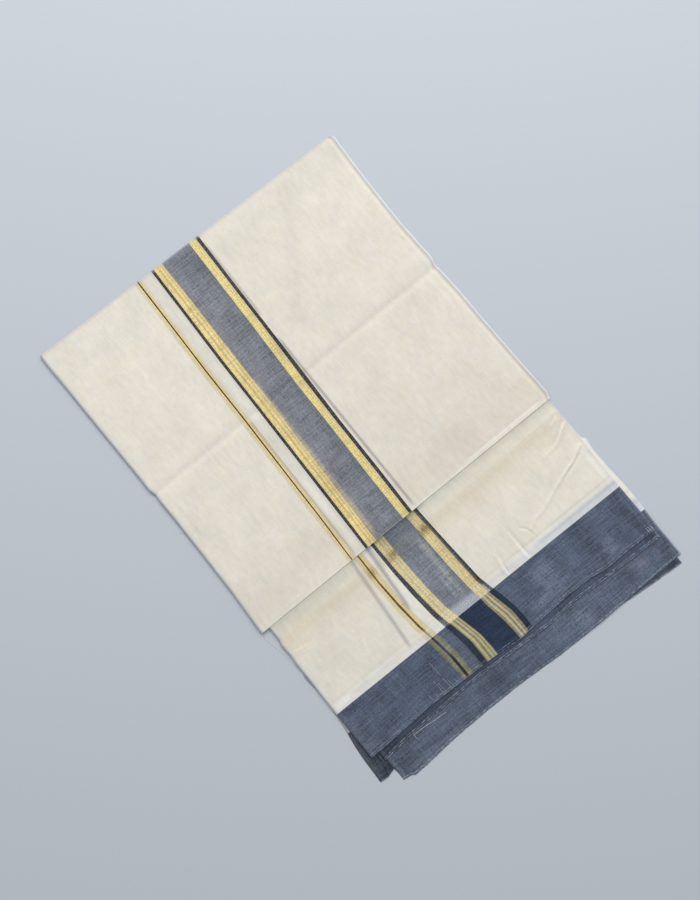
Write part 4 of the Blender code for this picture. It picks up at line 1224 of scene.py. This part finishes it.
# %% [markdown]
# Each cut end has pale and dark lines, broken here and there, where its last weft threads have
# worked loose: the pale ones are threads, the dark ones painted shade in the gaps beside them.
# The longest of them are real tubes, made further on, but a tube for every thread would be
# slow. The top fold's crest is painted grey, as painted shade, and the tuck's edge a little
# paler, as a painted highlight.

# %% the face's two finishes
TOP_WEFT = BAND_Y - TOP_LEFT          # the top fold's crest, on the loom's length
LIP_WEFT = BAND_Y - LIP_Y             # and the tuck's edge
# The dark lines at a cut are painted shade in the gaps between its loose threads.
PALE, GAP_SHADE = (176, 186, 202), (38, 46, 60)       # loose threads, and the gaps beside them


def cut_lines(start, end, rows):
    """Lines along a cut end: how far before it, half width, share and tint."""
    cut = start - float(read(end, "x", "y", PACK_LEFT))
    return [WeftLine(cut - before, half, share, tint, True) for before, half, share, tint in rows]


upper_cotton = cotton(
    "upper stretch cotton", ZONES, DIM,
    # Painted shade along the top fold's crest, and a painted highlight along the tuck's edge.
    lines=[WeftLine(TOP_WEFT - 0.0015, 0.0098, 0.66, (168, 170, 182)),
           WeftLine(LIP_WEFT + 0.0002, 0.0018, 0.40, (250, 248, 240))],
    marks=UPPER_MARKS, rubs=[Rub(-0.489, 0.010, 0.30)], tints=UPPER_TINTS, tints_on_dark=0.15,
    sides=(1.0, 0.957))
lower_cotton = cotton(
    "lower stretch cotton", LOWER_ZONES, DIM,
    lines=cut_lines(BAND_Y, FIRST_END, [(0.0008, 0.0018, 0.45, PALE),
                                        (0.0030, 0.0014, 0.30, GAP_SHADE),
                                        (0.0053, 0.0014, 0.30, PALE)]),
    marks=LOWER_MARKS, rubs=[Rub(-0.155, 0.0155, 0.82)], tints=LOWER_TINTS)

# %% [markdown]
# The hidden layers have no border, so their zones are only the selvage, the cream and the side
# fold. Their end bands were dyed in one bath, so the differences between them are painted
# shade and light: each has its own weft colour and its own brightness at the two sides, darker
# where it lies deeper in shadow. One shared finish would save three nets of nodes, but it would
# flatten the steps between the layers.

# %% the hidden layers' three finishes
SECOND_BAND_Y = -0.3300               # the second layer's end band starts here
second_cotton = cotton(
    "second layer cotton", PLAIN_ZONES, (60, 69, 87),
    lines=cut_lines(SECOND_BAND_Y, SECOND_END, [(0.0008, 0.0018, 0.60, PALE),
                                                (0.0030, 0.0014, 0.45, GAP_SHADE),
                                                (0.0050, 0.0015, 0.45, PALE)]),
    sides=(0.86, 1.33))
third_cotton = cotton(
    "third layer cotton", PLAIN_ZONES, (85, 95, 113),
    lines=cut_lines(LOW_BAND_LEFT, THIRD_END, [(0.0032, 0.0018, 0.50, PALE),
                                               (0.0006, 0.0016, 0.58, PALE)]),
    marks=THIRD_MARKS, sides=(0.95, 1.06))
fourth_cotton = cotton(
    "fourth layer cotton", PLAIN_ZONES, (80, 89, 107),
    lines=cut_lines(LOW_BAND_LEFT, FOURTH_END, [(0.0008, 0.0018, 0.60, PALE)]),
    marks=FOURTH_MARKS, sides=(0.64, 0.70))

# %% [markdown]
# ## How an end band bends
# Up to its end band a sheet's weft threads are straight. The cut end isn't, and if only the
# last row followed it, that row would be torn from the one before. So the rows of the band
# bend toward the cut bit by bit, slowly at first.

# %% the rows of an end band
BAND_ROWS = 44
BEND_PACE = 1.5                       # above 1, most of the bend comes near the cut


def face_sides(table):
    """The sides of a face row, from its table."""
    return lambda y_left, y_right: (PACK_LEFT - float(read(table, "y", "left", y_left)),
                                    PACK_RIGHT + float(read(table, "y", "right", y_right)))


def to_end(start_left, start_right, end):
    """How the rows of an end band bend, bit by bit, from a straight thread to the cut."""
    end_left, end_right = (float(read(end, "x", "y", x)) for x in (PACK_LEFT, PACK_RIGHT))

    def bend(row, x, y):
        share = float(np.clip((start_left - row.y_left) / (start_left - end_left), 0, 1))
        return y + share ** BEND_PACE * (cut_end(end, x) - weft_y(end_left, end_right, x))

    rows = []
    for step in range(BAND_ROWS + 1):
        share = step / BAND_ROWS
        rows.append(flat_row(start_left + (end_left - start_left) * share,
                             start_right + (end_right - start_right) * share,
                             (start_left - end_left) * share))
    return rows, bend


print("rows in an end band:", len(to_end(BAND_Y, weft_right(BAND_Y), FIRST_END)[0]))

# %% [markdown]
# ## The face above the tuck
# The face shows as two stretches, because a tuck covers the cloth between them. The upper one
# comes round the top fold from the table, climbs to the tuck, and turns back under itself. It
# could be a flat sheet bent by modifiers, but then the folds would be hard to place, so its
# rows are listed in order instead, closer together where a crease or a turn is sharp.

# %% the upper stretch
CREASE_TOP, CREASE_FOOT = 0.205, 0.158           # the straight crease lies between these
LIP_NEAR = LIP_Y + 0.014              # the last stretch before the tuck's edge starts here
FAR, NEAR, CLOSE = 0.0040, 0.0022, 0.0012        # the longest steps between flat rows,
WRAP_STEP, LIP_STEP = 0.0009, 0.0005             # and between rows in the two turns
WRAP_PAST, LIP_PAST = 0.003, 0.009    # how far the cloth runs on under each turn
wrap_rows = [rolled_row(TOP_LEFT - WRAP, TOP_RIGHT - WRAP, past, WRAP, 1)
             for past in between(math.pi * WRAP + WRAP_PAST, 0, WRAP_STEP)]
face_rows = [flat_row(y) for y in between(TOP_LEFT - WRAP, CREASE_TOP, FAR)
             + between(CREASE_TOP, CREASE_FOOT, NEAR) + between(CREASE_FOOT, LIP_NEAR, FAR)
             + between(LIP_NEAR, LIP_Y + LIP_ROLL, CLOSE)]
lip_rows = [rolled_row(LIP_Y + LIP_ROLL, weft_right(LIP_Y) + LIP_ROLL, past, LIP_ROLL, -1)
            for past in between(0, math.pi * LIP_ROLL + LIP_PAST, LIP_STEP)]
places = loom_columns(UPPER_SPANS, True)
points, cloth = shape_rows(wrap_rows + face_rows + lip_rows, places, face_sides(UPPER_SIDES),
                           upper_face, UPPER_BORDER)
upper, upper_flat = add_sheet("upper_stretch_cloth", points, cloth, upper_cotton)
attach(upper, "root")
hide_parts("upper_stretch")

# %% [markdown]
# ## The face below the tuck
# The lower stretch comes out from under the tuck with the loose creases. Its end band is woven
# in one with it, so although the solids part there, one sheet covers both, and no seam shows.
# All its rows are close together, because the creases run in every direction.

# %% the lower stretch
UNDER_LIP, LOWER_STEP = 0.010, 0.0016            # it starts this far under the tuck
lower_rows = [flat_row(y) for y in between(LIP_Y + UNDER_LIP, BAND_Y, LOWER_STEP)]
band_rows, face_bend = to_end(BAND_Y, weft_right(BAND_Y), FIRST_END)
points, cloth = shape_rows(lower_rows + band_rows, loom_columns(LOWER_SPANS, True),
                           face_sides(LOWER_SIDES), lower_face, LOWER_BORDER, face_bend)
lower, lower_flat = add_sheet("lower_stretch_cloth", points, cloth, lower_cotton)
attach(lower, "root")
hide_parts("lower_stretch", "top_end_band")

# %% [markdown]
# ## Where the hidden layers lie
# Little of these three shows: their selvages at the left, the low side fold at the right, and
# their end bands, each cut a little longer than the one above. Short strips would do for a
# view from above, but they run the whole length, so the pack is right from every side. Each
# needs its two sides first.

# %% the hidden layers' sides, row by row
SECOND_IN, FOURTH_IN = 0.0018, 0.0036            # how far they stay inside the fold over them
STEP_IN_AT, STEP_IN_OVER = -0.478, 0.004         # near its cut end the fourth steps in again


def second_sides(y_left, y_right):
    """The second layer stays inside the face's side fold."""
    table = UPPER_SIDES if y_left > LIP_Y + LIP_RISE else LOWER_SIDES
    right = PACK_RIGHT + float(read(table, "y", "right", y_right)) - SECOND_IN
    return PACK_LEFT - float(read(HIDDEN_SIDES, "y", "second", y_left)), right


def third_sides(y_left, y_right):
    """The third layer makes the low side fold."""
    return (PACK_LEFT - float(read(HIDDEN_SIDES, "y", "third", y_left)),
            PACK_RIGHT + float(read(HIDDEN_SIDES, "y", "low_fold", y_right)))


def fourth_sides(y_left, y_right):
    """The fourth layer stays inside the low side fold, and steps in near its cut end."""
    step = float(smooth((STEP_IN_AT - y_right) / STEP_IN_OVER))
    right = third_sides(y_left, y_right)[1] - FOURTH_IN
    return (PACK_LEFT - float(read(HIDDEN_SIDES, "y", "fourth", y_left)),
            right * (1 - step) + (PACK_RIGHT - FOURTH_IN) * step)


print("side folds at the middle:", round(second_sides(0, 0)[1], 4), "and",
      round(third_sides(0, 0)[1], 4))

# %% [markdown]
# Then each needs its height. The second layer simply lies on the third. The third sags to the
# table past the fourth one's end, and the fourth lies on the table with two small creases in
# the corner that stands out. All of it could be one flat stack, but the selvages are a little
# slack, and their slow waves keep them from looking like sheets of card.

# %% the hidden layers' heights
FOURTH_CREASES = [Crease(-0.3065, -0.4170, -0.3147, -0.4586, 0.0004, 0.0011, 0.0030),
                  Crease(-0.3190, -0.3900, -0.3240, -0.4560, 0.0002, 0.0006, 0.0040)]
FLUTTER, WAVES = 0.00018, (0.083, 0.061, 0.072, 0.09)      # how high, and each one's length
SAG = 0.0019                          # how far the third layer drops past the fourth's end
LOWEST_TOP, LOWEST_SHEET = 0.00075, 0.0007       # the fourth is drawn down to the table


def flutter(x, y, level):
    """The selvages are a little slack, so they wave."""
    loose = np.exp(-np.maximum(x - PACK_LEFT, 0) / 0.02)
    return FLUTTER * loose * np.sin(2 * np.pi * y / WAVES[level] + level)


def second_face(x, y):
    """Flat on the third layer."""
    return 2 * PITCH + LAYER + flutter(x, y, 2) + end_lift(x, y, 2)


def third_face(x, y):
    """Flat on the fourth layer, and down to the table past its cut end."""
    past = read(FOURTH_END, "x", "y", x) - 0.001 - y
    room = read(FOURTH_END, "x", "y", x) - read(THIRD_END, "x", "y", x)
    sag = smooth((past + 0.002) / 0.010) * smooth((room - 0.002) / 0.008)
    return PITCH + LAYER + flutter(x, y, 1) + end_lift(x, y, 1) * (1 - sag) - SAG * sag


def fourth_face(x, y):
    """On the table, with the corner's creases."""
    return LOWEST_TOP + crease_height(FOURTH_CREASES, x, y)


print("third layer:", PITCH + LAYER, "m high, and", round(PITCH + LAYER - SAG, 5), "m at its sag")

# %% [markdown]
# ## The second layer
# This one turns over inside the top fold, with a smaller radius. Where nothing shows, its rows
# stand far apart. Even rows would be simpler, but three whole layers of them would be most of
# the scene's faces.

# %% the second layer
HIDDEN_TO = -0.10                     # nothing of the layers shows above this
HIDDEN_STEP, SHOWN_STEP, LEANING_STEP, INNER_STEP = 0.012, 0.004, 0.003, 0.0007
SECOND_JOINS = -0.325                 # its rows start to lean toward the band's here


def hidden_rows(start, band_left, band_right, joins_at):
    """Rows from just below the top fold to the band: far apart where nothing shows."""
    heights = between(start, HIDDEN_TO, HIDDEN_STEP) + between(HIDDEN_TO, joins_at, SHOWN_STEP)
    rows = [flat_row(y, None, band_left - y) for y in heights]
    for y in between(joins_at, band_left, LEANING_STEP):
        share = (joins_at - y) / (joins_at - band_left) if joins_at != band_left else 0.0
        right = weft_right(joins_at) * (1 - share) + band_right * share
        rows.append(flat_row(y, right, band_left - y))
    return rows


hidden_places = loom_columns(HIDDEN_SPANS, False)
top_y = TOP_LEFT - WRAP
inner_rows = [rolled_row(top_y, TOP_RIGHT - WRAP, past, INNER_WRAP, 1)
              for past in between(math.pi * INNER_WRAP + WRAP_PAST, 0, INNER_STEP)]
rows, bend = to_end(SECOND_BAND_Y, weft_right(SECOND_BAND_Y), SECOND_END)
above = hidden_rows(top_y, SECOND_BAND_Y, weft_right(SECOND_BAND_Y), SECOND_JOINS)
points, cloth = shape_rows(inner_rows + above + rows, hidden_places, second_sides, second_face,
                           None, bend, False)
second, second_flat = add_sheet("second_layer_cloth", points, cloth, second_cotton)
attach(second, "root")
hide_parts("second_end_band", "folded_layers")

# %% [markdown]
# ## The third and the fourth layer
# These two are the other half of the length. The third turns round the low side fold with a
# rim of its own, and the fourth lies inside it. They stop short of the top fold's inside, and
# both band rows lean more than the others do, because these ends were laid down askew. The
# fourth could have a turned rim too, but the third one's hides it.

# %% the third and the fourth layer
TOP_GAP = 0.0033                      # they stop this far below the fold's inside
above = hidden_rows(top_y - TOP_GAP, LOW_BAND_LEFT, LOW_BAND_RIGHT, SECOND_BAND_Y)
rows, bend = to_end(LOW_BAND_LEFT, LOW_BAND_RIGHT, THIRD_END)
points, cloth = shape_rows(above + rows, hidden_places, third_sides, third_face, None, bend)
third, third_flat = add_sheet("third_layer_cloth", points, cloth, third_cotton)
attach(third, "root")
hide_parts("third_end_band", "folded_layers", "lower_fold")

rows, bend = to_end(LOW_BAND_LEFT, LOW_BAND_RIGHT, FOURTH_END)
points, cloth = shape_rows(above + rows, hidden_places, fourth_sides, fourth_face, None, bend,
                           False)
fourth, fourth_flat = add_sheet("fourth_layer_cloth", points, cloth, fourth_cotton)
fourth.modifiers["cloth"].thickness = LOWEST_SHEET
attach(fourth, "root")
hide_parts("fourth_end_band", "folded_layers", "lower_fold")

# %% [markdown]
# ## Frayed threads
# A cut end that was never hemmed lets go of its threads. Short warp ends stick out of every
# cut, loose weft threads lie along it, and a few longer white ones have worked free. Hair
# curves would draw them, but they don't travel to other programs as a mesh does, so each is a
# thin tube of three sides along a few points, and all of one kind are one piece.

# %% tubes for threads
SPECKS = 900                          # spots a metre along a thread


def speckle(net, colour, spots, detail, reach, low, high):
    """One colour with soft specks, from low to high times as bright."""
    place = net.add("SeparateXYZ", net.add("TexCoord").outputs["Object"])
    speck = net.noise(place.outputs[0], place.outputs[1], spots, spots, detail)
    tone = net.add("VectorMath", seen(*colour)[:3], operation="SCALE")
    net.join(net.ease(speck, -reach, reach, low, high), tone.inputs["Scale"])
    net.join(tone.outputs[0], net.shader.inputs["Base Color"])


def add_threads(name, paths, radius, colour):
    """Three-sided tubes along the paths, in one piece with its own finish."""
    verts, faces = [], []
    for path in paths:
        first = len(verts)
        for at, point in enumerate(path):
            ahead = path[min(at + 1, len(path) - 1)] - path[max(at - 1, 0)]
            side = ahead.cross(Vector((0, 0, 1))).normalized() * radius
            for turn in range(3):
                angle = 2 * math.pi * turn / 3 + math.pi / 2
                verts.append(point + side * math.cos(angle)
                             + Vector((0, 0, radius)) * math.sin(angle))
        for at in range(len(path) - 1):
            ring = first + 3 * at
            faces += [(ring + turn, ring + (turn + 1) % 3, ring + 3 + (turn + 1) % 3,
                       ring + 3 + turn) for turn in range(3)]
    mesh = bpy.data.meshes.new(name)
    mesh.from_pydata([tuple(vert) for vert in verts], [], faces)
    mesh.shade_smooth()
    net = Net(name.replace("_", " ") + " cotton")
    speckle(net, colour, SPECKS, 2.0, 0.3, 0.8, 1.1)
    net.shader.inputs["Roughness"].default_value = 0.9
    net.shader.inputs["Sheen Weight"].default_value = 0.1
    mesh.materials.append(net.material)
    threads = put(name, mesh)
    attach(threads, "root")
    print(name, len(paths), "threads,", len(faces) * 2, "triangles")
    return threads


print("each side of a tube is", round(math.sqrt(3), 2), "times its radius")

# %% [markdown]
# A loose thread has to lie on something: on its own sheet, past the cut on the layer below, or
# on the table. Rays could find the height, but the sheets' own functions already know it, so
# they are asked, from the top layer down.

# %% laying a thread down
FACES = (fourth_face, third_face, second_face, lower_face)
ENDS = (FOURTH_END, THIRD_END, SECOND_END, FIRST_END)
LAYER_SIDES = (fourth_sides, third_sides, second_sides, face_sides(LOWER_SIDES))


def top_below(level, x, y):
    """The height of what lies under a level's end at one point: a layer, or the table."""
    for lower_level in range(level - 1, -1, -1):
        left, right = LAYER_SIDES[lower_level](y, y)
        if left < x < right and y > float(read(ENDS[lower_level], "x", "y", x)):
            return float(FACES[lower_level](np.array([x]), np.array([y]))[0])
    return 0.0


def lay(level, x, y, lift=0.00012):
    """A point on the sheet if the sheet is there, and on what lies below it if not."""
    if y > float(read(ENDS[level], "x", "y", x)):
        return Vector((x, y, float(FACES[level](np.array([x]), np.array([y]))[0]) + lift))
    return Vector((x, y, top_below(level, x, y) + lift))


print("under the face's end at the middle:", round(top_below(3, 0.0, -0.42), 5), "m")

# %% [markdown]
# A fringe is warp ends that stick out of the cut, each its own length and lean. Strands are
# weft threads that lie along it in slow waves. Placing hundreds by hand would take a day, so
# they are drawn at random, from a fixed seed, and come out the same each time.

# %% fringes and strands
STRAND_STEPS, STRAND_WAVE = 8, 0.0004            # the parts of a strand, and how it waves


def fringe(level, spacing, length, reach):
    """Warp ends that stick out of a cut."""
    paths, x = [], reach[0]
    while x < reach[1]:
        x += spacing * random.uniform(0.4, 1.6)
        edge = float(cut_end(ENDS[level], x)[0])
        size, lean = length * random.uniform(0.3, 1.3), random.uniform(-0.5, 0.5)
        start = lay(level, x, edge + 0.0008, 0.00005)
        middle = Vector((x + lean * size * 0.4, edge - size * 0.5, start.z - 0.0001))
        low = top_below(level, x, edge - size)
        paths.append([start, middle, Vector((x + lean * size, edge - size,
                                             max(low + 0.0002, start.z - 0.4 * size)))])
    return paths


def strands(level, count, longest, offsets, reach):
    """Weft threads that have come loose and lie along a cut."""
    paths = []
    for _ in range(count):
        x, size = random.uniform(*reach), longest * random.uniform(0.15, 1.0)
        offset, phase = random.uniform(*offsets), random.uniform(0, 6)
        points = []
        for step in range(STRAND_STEPS + 1):
            at = min(x + size * step / STRAND_STEPS, reach[1])
            wave = STRAND_WAVE * math.sin(phase + step * 1.3)
            points.append(lay(level, at, float(cut_end(ENDS[level], at)[0]) + offset + wave))
        paths.append(points)
    return paths


random.seed(12)
print("fringes and strands are drawn from one fixed seed")

# %% [markdown]
# Each of the four cuts has its own fringe. One long fringe for all would be less to write, but
# each goes with its own sheet. The lowest has one at the right alone, where its cut shows past
# the layer over it. The two lowest are painted a little darker, as shade, since they lie deeper.

# %% the four fringes
Cut = namedtuple("Cut", "level name spacing length reach colour")
# The two lowest cuts' threads are painted darker, as shade.
CUTS = [
    Cut(3, "first", 0.0022, 0.0016, (-0.295, 0.318), (148, 160, 180)),
    Cut(2, "second", 0.0024, 0.0016, (-0.295, 0.318), (148, 160, 180)),
    Cut(1, "third", 0.0016, 0.0018, (-0.295, 0.318), (138, 148, 166)),
    Cut(0, "fourth", 0.0020, 0.0018, (0.215, 0.318), (138, 148, 166)),
]
LONG_STRANDS, LONGEST = 14, 0.05      # a few long threads along each cut as well
FRINGE_RADIUS = 0.00013
cuts = {}
for cut in CUTS:
    paths = fringe(cut.level, cut.spacing, cut.length, cut.reach)
    paths += strands(cut.level, LONG_STRANDS, LONGEST, (-0.0012, 0.0016), cut.reach)
    cuts[cut.level] = add_threads(cut.name + "_cut_fringe", paths, FRINGE_RADIUS, cut.colour)

# %% [markdown]
# In places the last weft threads of the two upper cuts have been drawn out of line, as short
# thick dashes beside the edge. Spread evenly they would look like a machine's work, so each
# row below is one place: how many there are, how far from the cut, and from where to where.

# %% the drawn threads
Drawn = namedtuple("Drawn", "level count longest offsets reach")
DRAWN = [
    Drawn(2, 40, 0.007, (0.0002, 0.0030), (-0.165, 0.126)),
    Drawn(2, 24, 0.007, (-0.0038, -0.0032), (-0.165, 0.090)),
    Drawn(2, 34, 0.007, (0.0000, 0.0026), (0.100, 0.315)),
    Drawn(2, 12, 0.007, (-0.0006, 0.0012), (-0.290, -0.200)),
    Drawn(3, 36, 0.006, (-0.0014, 0.0026), (0.036, 0.112)),
    Drawn(3, 16, 0.006, (-0.0014, 0.0026), (-0.180, -0.105)),
    Drawn(3, 10, 0.006, (-0.0014, 0.0026), (-0.290, -0.190)),
    Drawn(3, 12, 0.006, (-0.0014, 0.0026), (0.112, 0.310)),
]
DRAWN_RADIUS, DRAWN_COLOUR = 0.00021, (150, 163, 184)
paths = [path for place in DRAWN for path in strands(*place)]
dashes = add_threads("drawn_threads", paths, DRAWN_RADIUS, DRAWN_COLOUR)

# %% [markdown]
# ## The longer loose threads
# A few threads are long enough to notice, so chance won't do for them, and each is placed
# one by one. One lies on the table beside the low left side, a short one higher up, two cross on
# the third layer, and three fray at the face's corner.

# %% the loose white threads
def drape(level, places):
    """A thread through places on one sheet."""
    return [lay(level, x, y, 0.0002) for x, y in places]


on_table = [Vector(point) for point in (
    (-0.3225, -0.1235, 0.0050), (-0.3252, -0.1290, 0.0022), (-0.3266, -0.1340, 0.0004),
    (-0.3262, -0.1420, 0.0003), (-0.3240, -0.1520, 0.0003), (-0.3222, -0.1640, 0.0003),
    (-0.3196, -0.1820, 0.0003), (-0.3172, -0.2000, 0.0003), (-0.3152, -0.2200, 0.0008))]
by_the_side = [Vector(point) for point in (
    (-0.3160, 0.0870, 0.0030), (-0.3196, 0.0990, 0.0008), (-0.3215, 0.1010, 0.0004),
    (-0.3240, 0.1035, 0.0004))]
across = drape(1, [(-0.2285, -0.4125), (-0.2312, -0.4215), (-0.2330, -0.4330),
                   (-0.2322, -0.4392)])
along = drape(1, [(-0.2337, -0.4299), (-0.2130, -0.4306), (-0.1900, -0.4332),
                  (-0.1640, -0.4352)])
corner = [drape(3, [(x, -0.4075), (x + 0.0014, -0.4130), (x + 0.0020, -0.4186)])
          for x in (0.3080, 0.3120, 0.3160)]
WHITE_RADIUS, WHITE_COLOUR = 0.00034, (230, 231, 228)
white = add_threads("loose_white_threads", [on_table, by_the_side, across, along] + corner,
                    WHITE_RADIUS, WHITE_COLOUR)

# %% [markdown]
# Slubs are thick places in a thread, where the spinner joined two ends. Eight stand along the
# warp in the face's end band, and three have curled into small knots on the third layer. As
# bump they would be lost on the dark cotton, so they are short pale tubes.

# %% the slubs
Slub = namedtuple("Slub", "across top foot")     # across is from the pack's left side
SLUBS = [
    Slub(0.1430, -0.392, -0.409), Slub(0.1650, -0.378, -0.409), Slub(0.1695, -0.386, -0.409),
    Slub(0.1800, -0.350, -0.378), Slub(0.1815, -0.386, -0.409), Slub(0.1860, -0.392, -0.409),
    Slub(0.1955, -0.396, -0.409), Slub(0.1540, -0.398, -0.409),
]
standing = []
for slub in SLUBS:
    x = PACK_LEFT + slub.across
    middle = (slub.top + slub.foot) / 2
    standing.append(drape(3, [(x - 0.001, slub.top), (x, middle), (x + 0.0004, slub.foot)]))
knots = []
for x, y in ((-0.2878, -0.4665), (-0.0260, -0.4685), (0.2270, -0.4700)):
    knots.append([lay(1, x + 0.0010 * math.cos(step), y + 0.0007 * math.sin(step), 0.0003)
                  for step in range(9)])
SLUB_RADIUS, SLUB_COLOUR = 0.00026, (194, 201, 211)
slubs = add_threads("slub_threads", standing + knots, SLUB_RADIUS, SLUB_COLOUR)

# %% [markdown]
# ## The size each sheet was cut to
# All five are stretches of one length, 1.27 m wide, so each one's flat size is half that
# width by the length of its own stretch. The sheets' own rows and columns were measured as
# they were made, and they should agree with it: cotton doesn't stretch when it is folded.
# Each one's measured size is printed here.

for sheet, slot_name, flat, rests, trims in (
        (upper, "cream_cotton", upper_flat, [lower, second], []),
        (lower, "cream_cotton", lower_flat, [second], [cuts[3], slubs]),
        (second, "cream_cotton", second_flat, [third], [cuts[2], dashes]),
        (third, "cream_cotton", third_flat, [fourth], [cuts[1], white]),
        (fourth, "cream_cotton", fourth_flat, ["table"], [cuts[0]])):
    cut = (round(flat[0], 3), round(flat[1], 3))
    print(sheet.name, "was cut", cut)

# %% [markdown]
# ## The table
# The pack lies on a plain, pale table. A white plane would do, but every real surface has a
# little grain, and without it the eye takes the background for empty air.

# %% the table
TABLE_COLOUR, TABLE_SPECKS = (190, 197, 205), 240
TABLE_REACH, TABLE_DROP = 4.0, 0.0002            # half its width, and how far under the cloth


def add_table():
    """One large face with a faint grain, just under the cloth."""
    plane = bmesh.new()
    bmesh.ops.create_grid(plane, x_segments=1, y_segments=1, size=TABLE_REACH)
    mesh = bpy.data.meshes.new("table_top")
    plane.to_mesh(mesh)
    plane.free()
    net = Net("matt table")
    speckle(net, TABLE_COLOUR, TABLE_SPECKS, 3.0, 0.5, 0.985, 1.015)
    net.shader.inputs["Roughness"].default_value = 0.9
    net.shader.inputs["Specular IOR Level"].default_value = 0.2
    mesh.materials.append(net.material)
    table = put("table", mesh)
    table.location.z = -TABLE_DROP
    return table


table = add_table()
print("table:", 2 * TABLE_REACH, "m wide")

# %% [markdown]
# ## The light
# One large soft lamp, like a window, stands beyond the top of the view, so the near edges of
# the cloth fall into shadow and the creases show. A small lamp would draw hard black lines
# beside them. An even, nearly white surround fills the rest.

# %% the window and the surround
UP = Vector((0.6368, 0.7710, 0.0))    # the top of the view lies this way on the table
ACROSS = Vector((0.7710, -0.6368, 0.0))          # and its right side this way
centre = Vector((-0.0016, 0.0249, 0.0))
LAMP_BEYOND, LAMP_HEIGHT = 3.4, 3.1
lamp_data = bpy.data.lights.new("window", "AREA")
lamp_data.shape = "RECTANGLE"
lamp_data.size, lamp_data.size_y = 4.2, 2.6
lamp_data.energy = 200.0
lamp_data.color = (1.0, 0.985, 0.965)
window = put("window", lamp_data)
window.location = centre + UP * LAMP_BEYOND + Vector((0, 0, LAMP_HEIGHT))
window.rotation_euler = (centre - window.location).to_track_quat("-Z", "Y").to_euler()
world = bpy.data.worlds.new("surround")
world.use_nodes = True
world.node_tree.nodes["Background"].inputs["Color"].default_value = (0.97, 0.985, 1.0, 1.0)
world.node_tree.nodes["Background"].inputs["Strength"].default_value = 0.47
bpy.context.scene.world = world
bpy.context.scene.view_settings.view_transform = "Standard"
bpy.context.scene.view_settings.look = "None"
print("the window is", round((window.location - centre).length, 2), "m from the cloth")

# %% [markdown]
# ## The camera
# The camera looks straight down, turned so that the cloth lies at a slant. It could be turned
# by angles, but three directions are easier to read: the view's right, the view's top, and up.

# %% the camera
CAMERA_HEIGHT = 1.2265
camera_data = bpy.data.cameras.new("camera")
camera_data.sensor_width = 36.0
camera_data.lens = 28.0
camera = put("camera", camera_data)
turn = Matrix((ACROSS, UP, Vector((0, 0, 1)))).transposed()
above_centre = centre + Vector((0, 0, CAMERA_HEIGHT))
camera.matrix_world = Matrix.Translation(above_centre) @ turn.to_4x4()
bpy.context.scene.camera = camera
print("camera height", round(camera.matrix_world.translation.z, 4), "m")

# %% [markdown]
# ## The box
# The dressed part should fill the same box as the solids, give or take a few millimetres of
# loose thread.
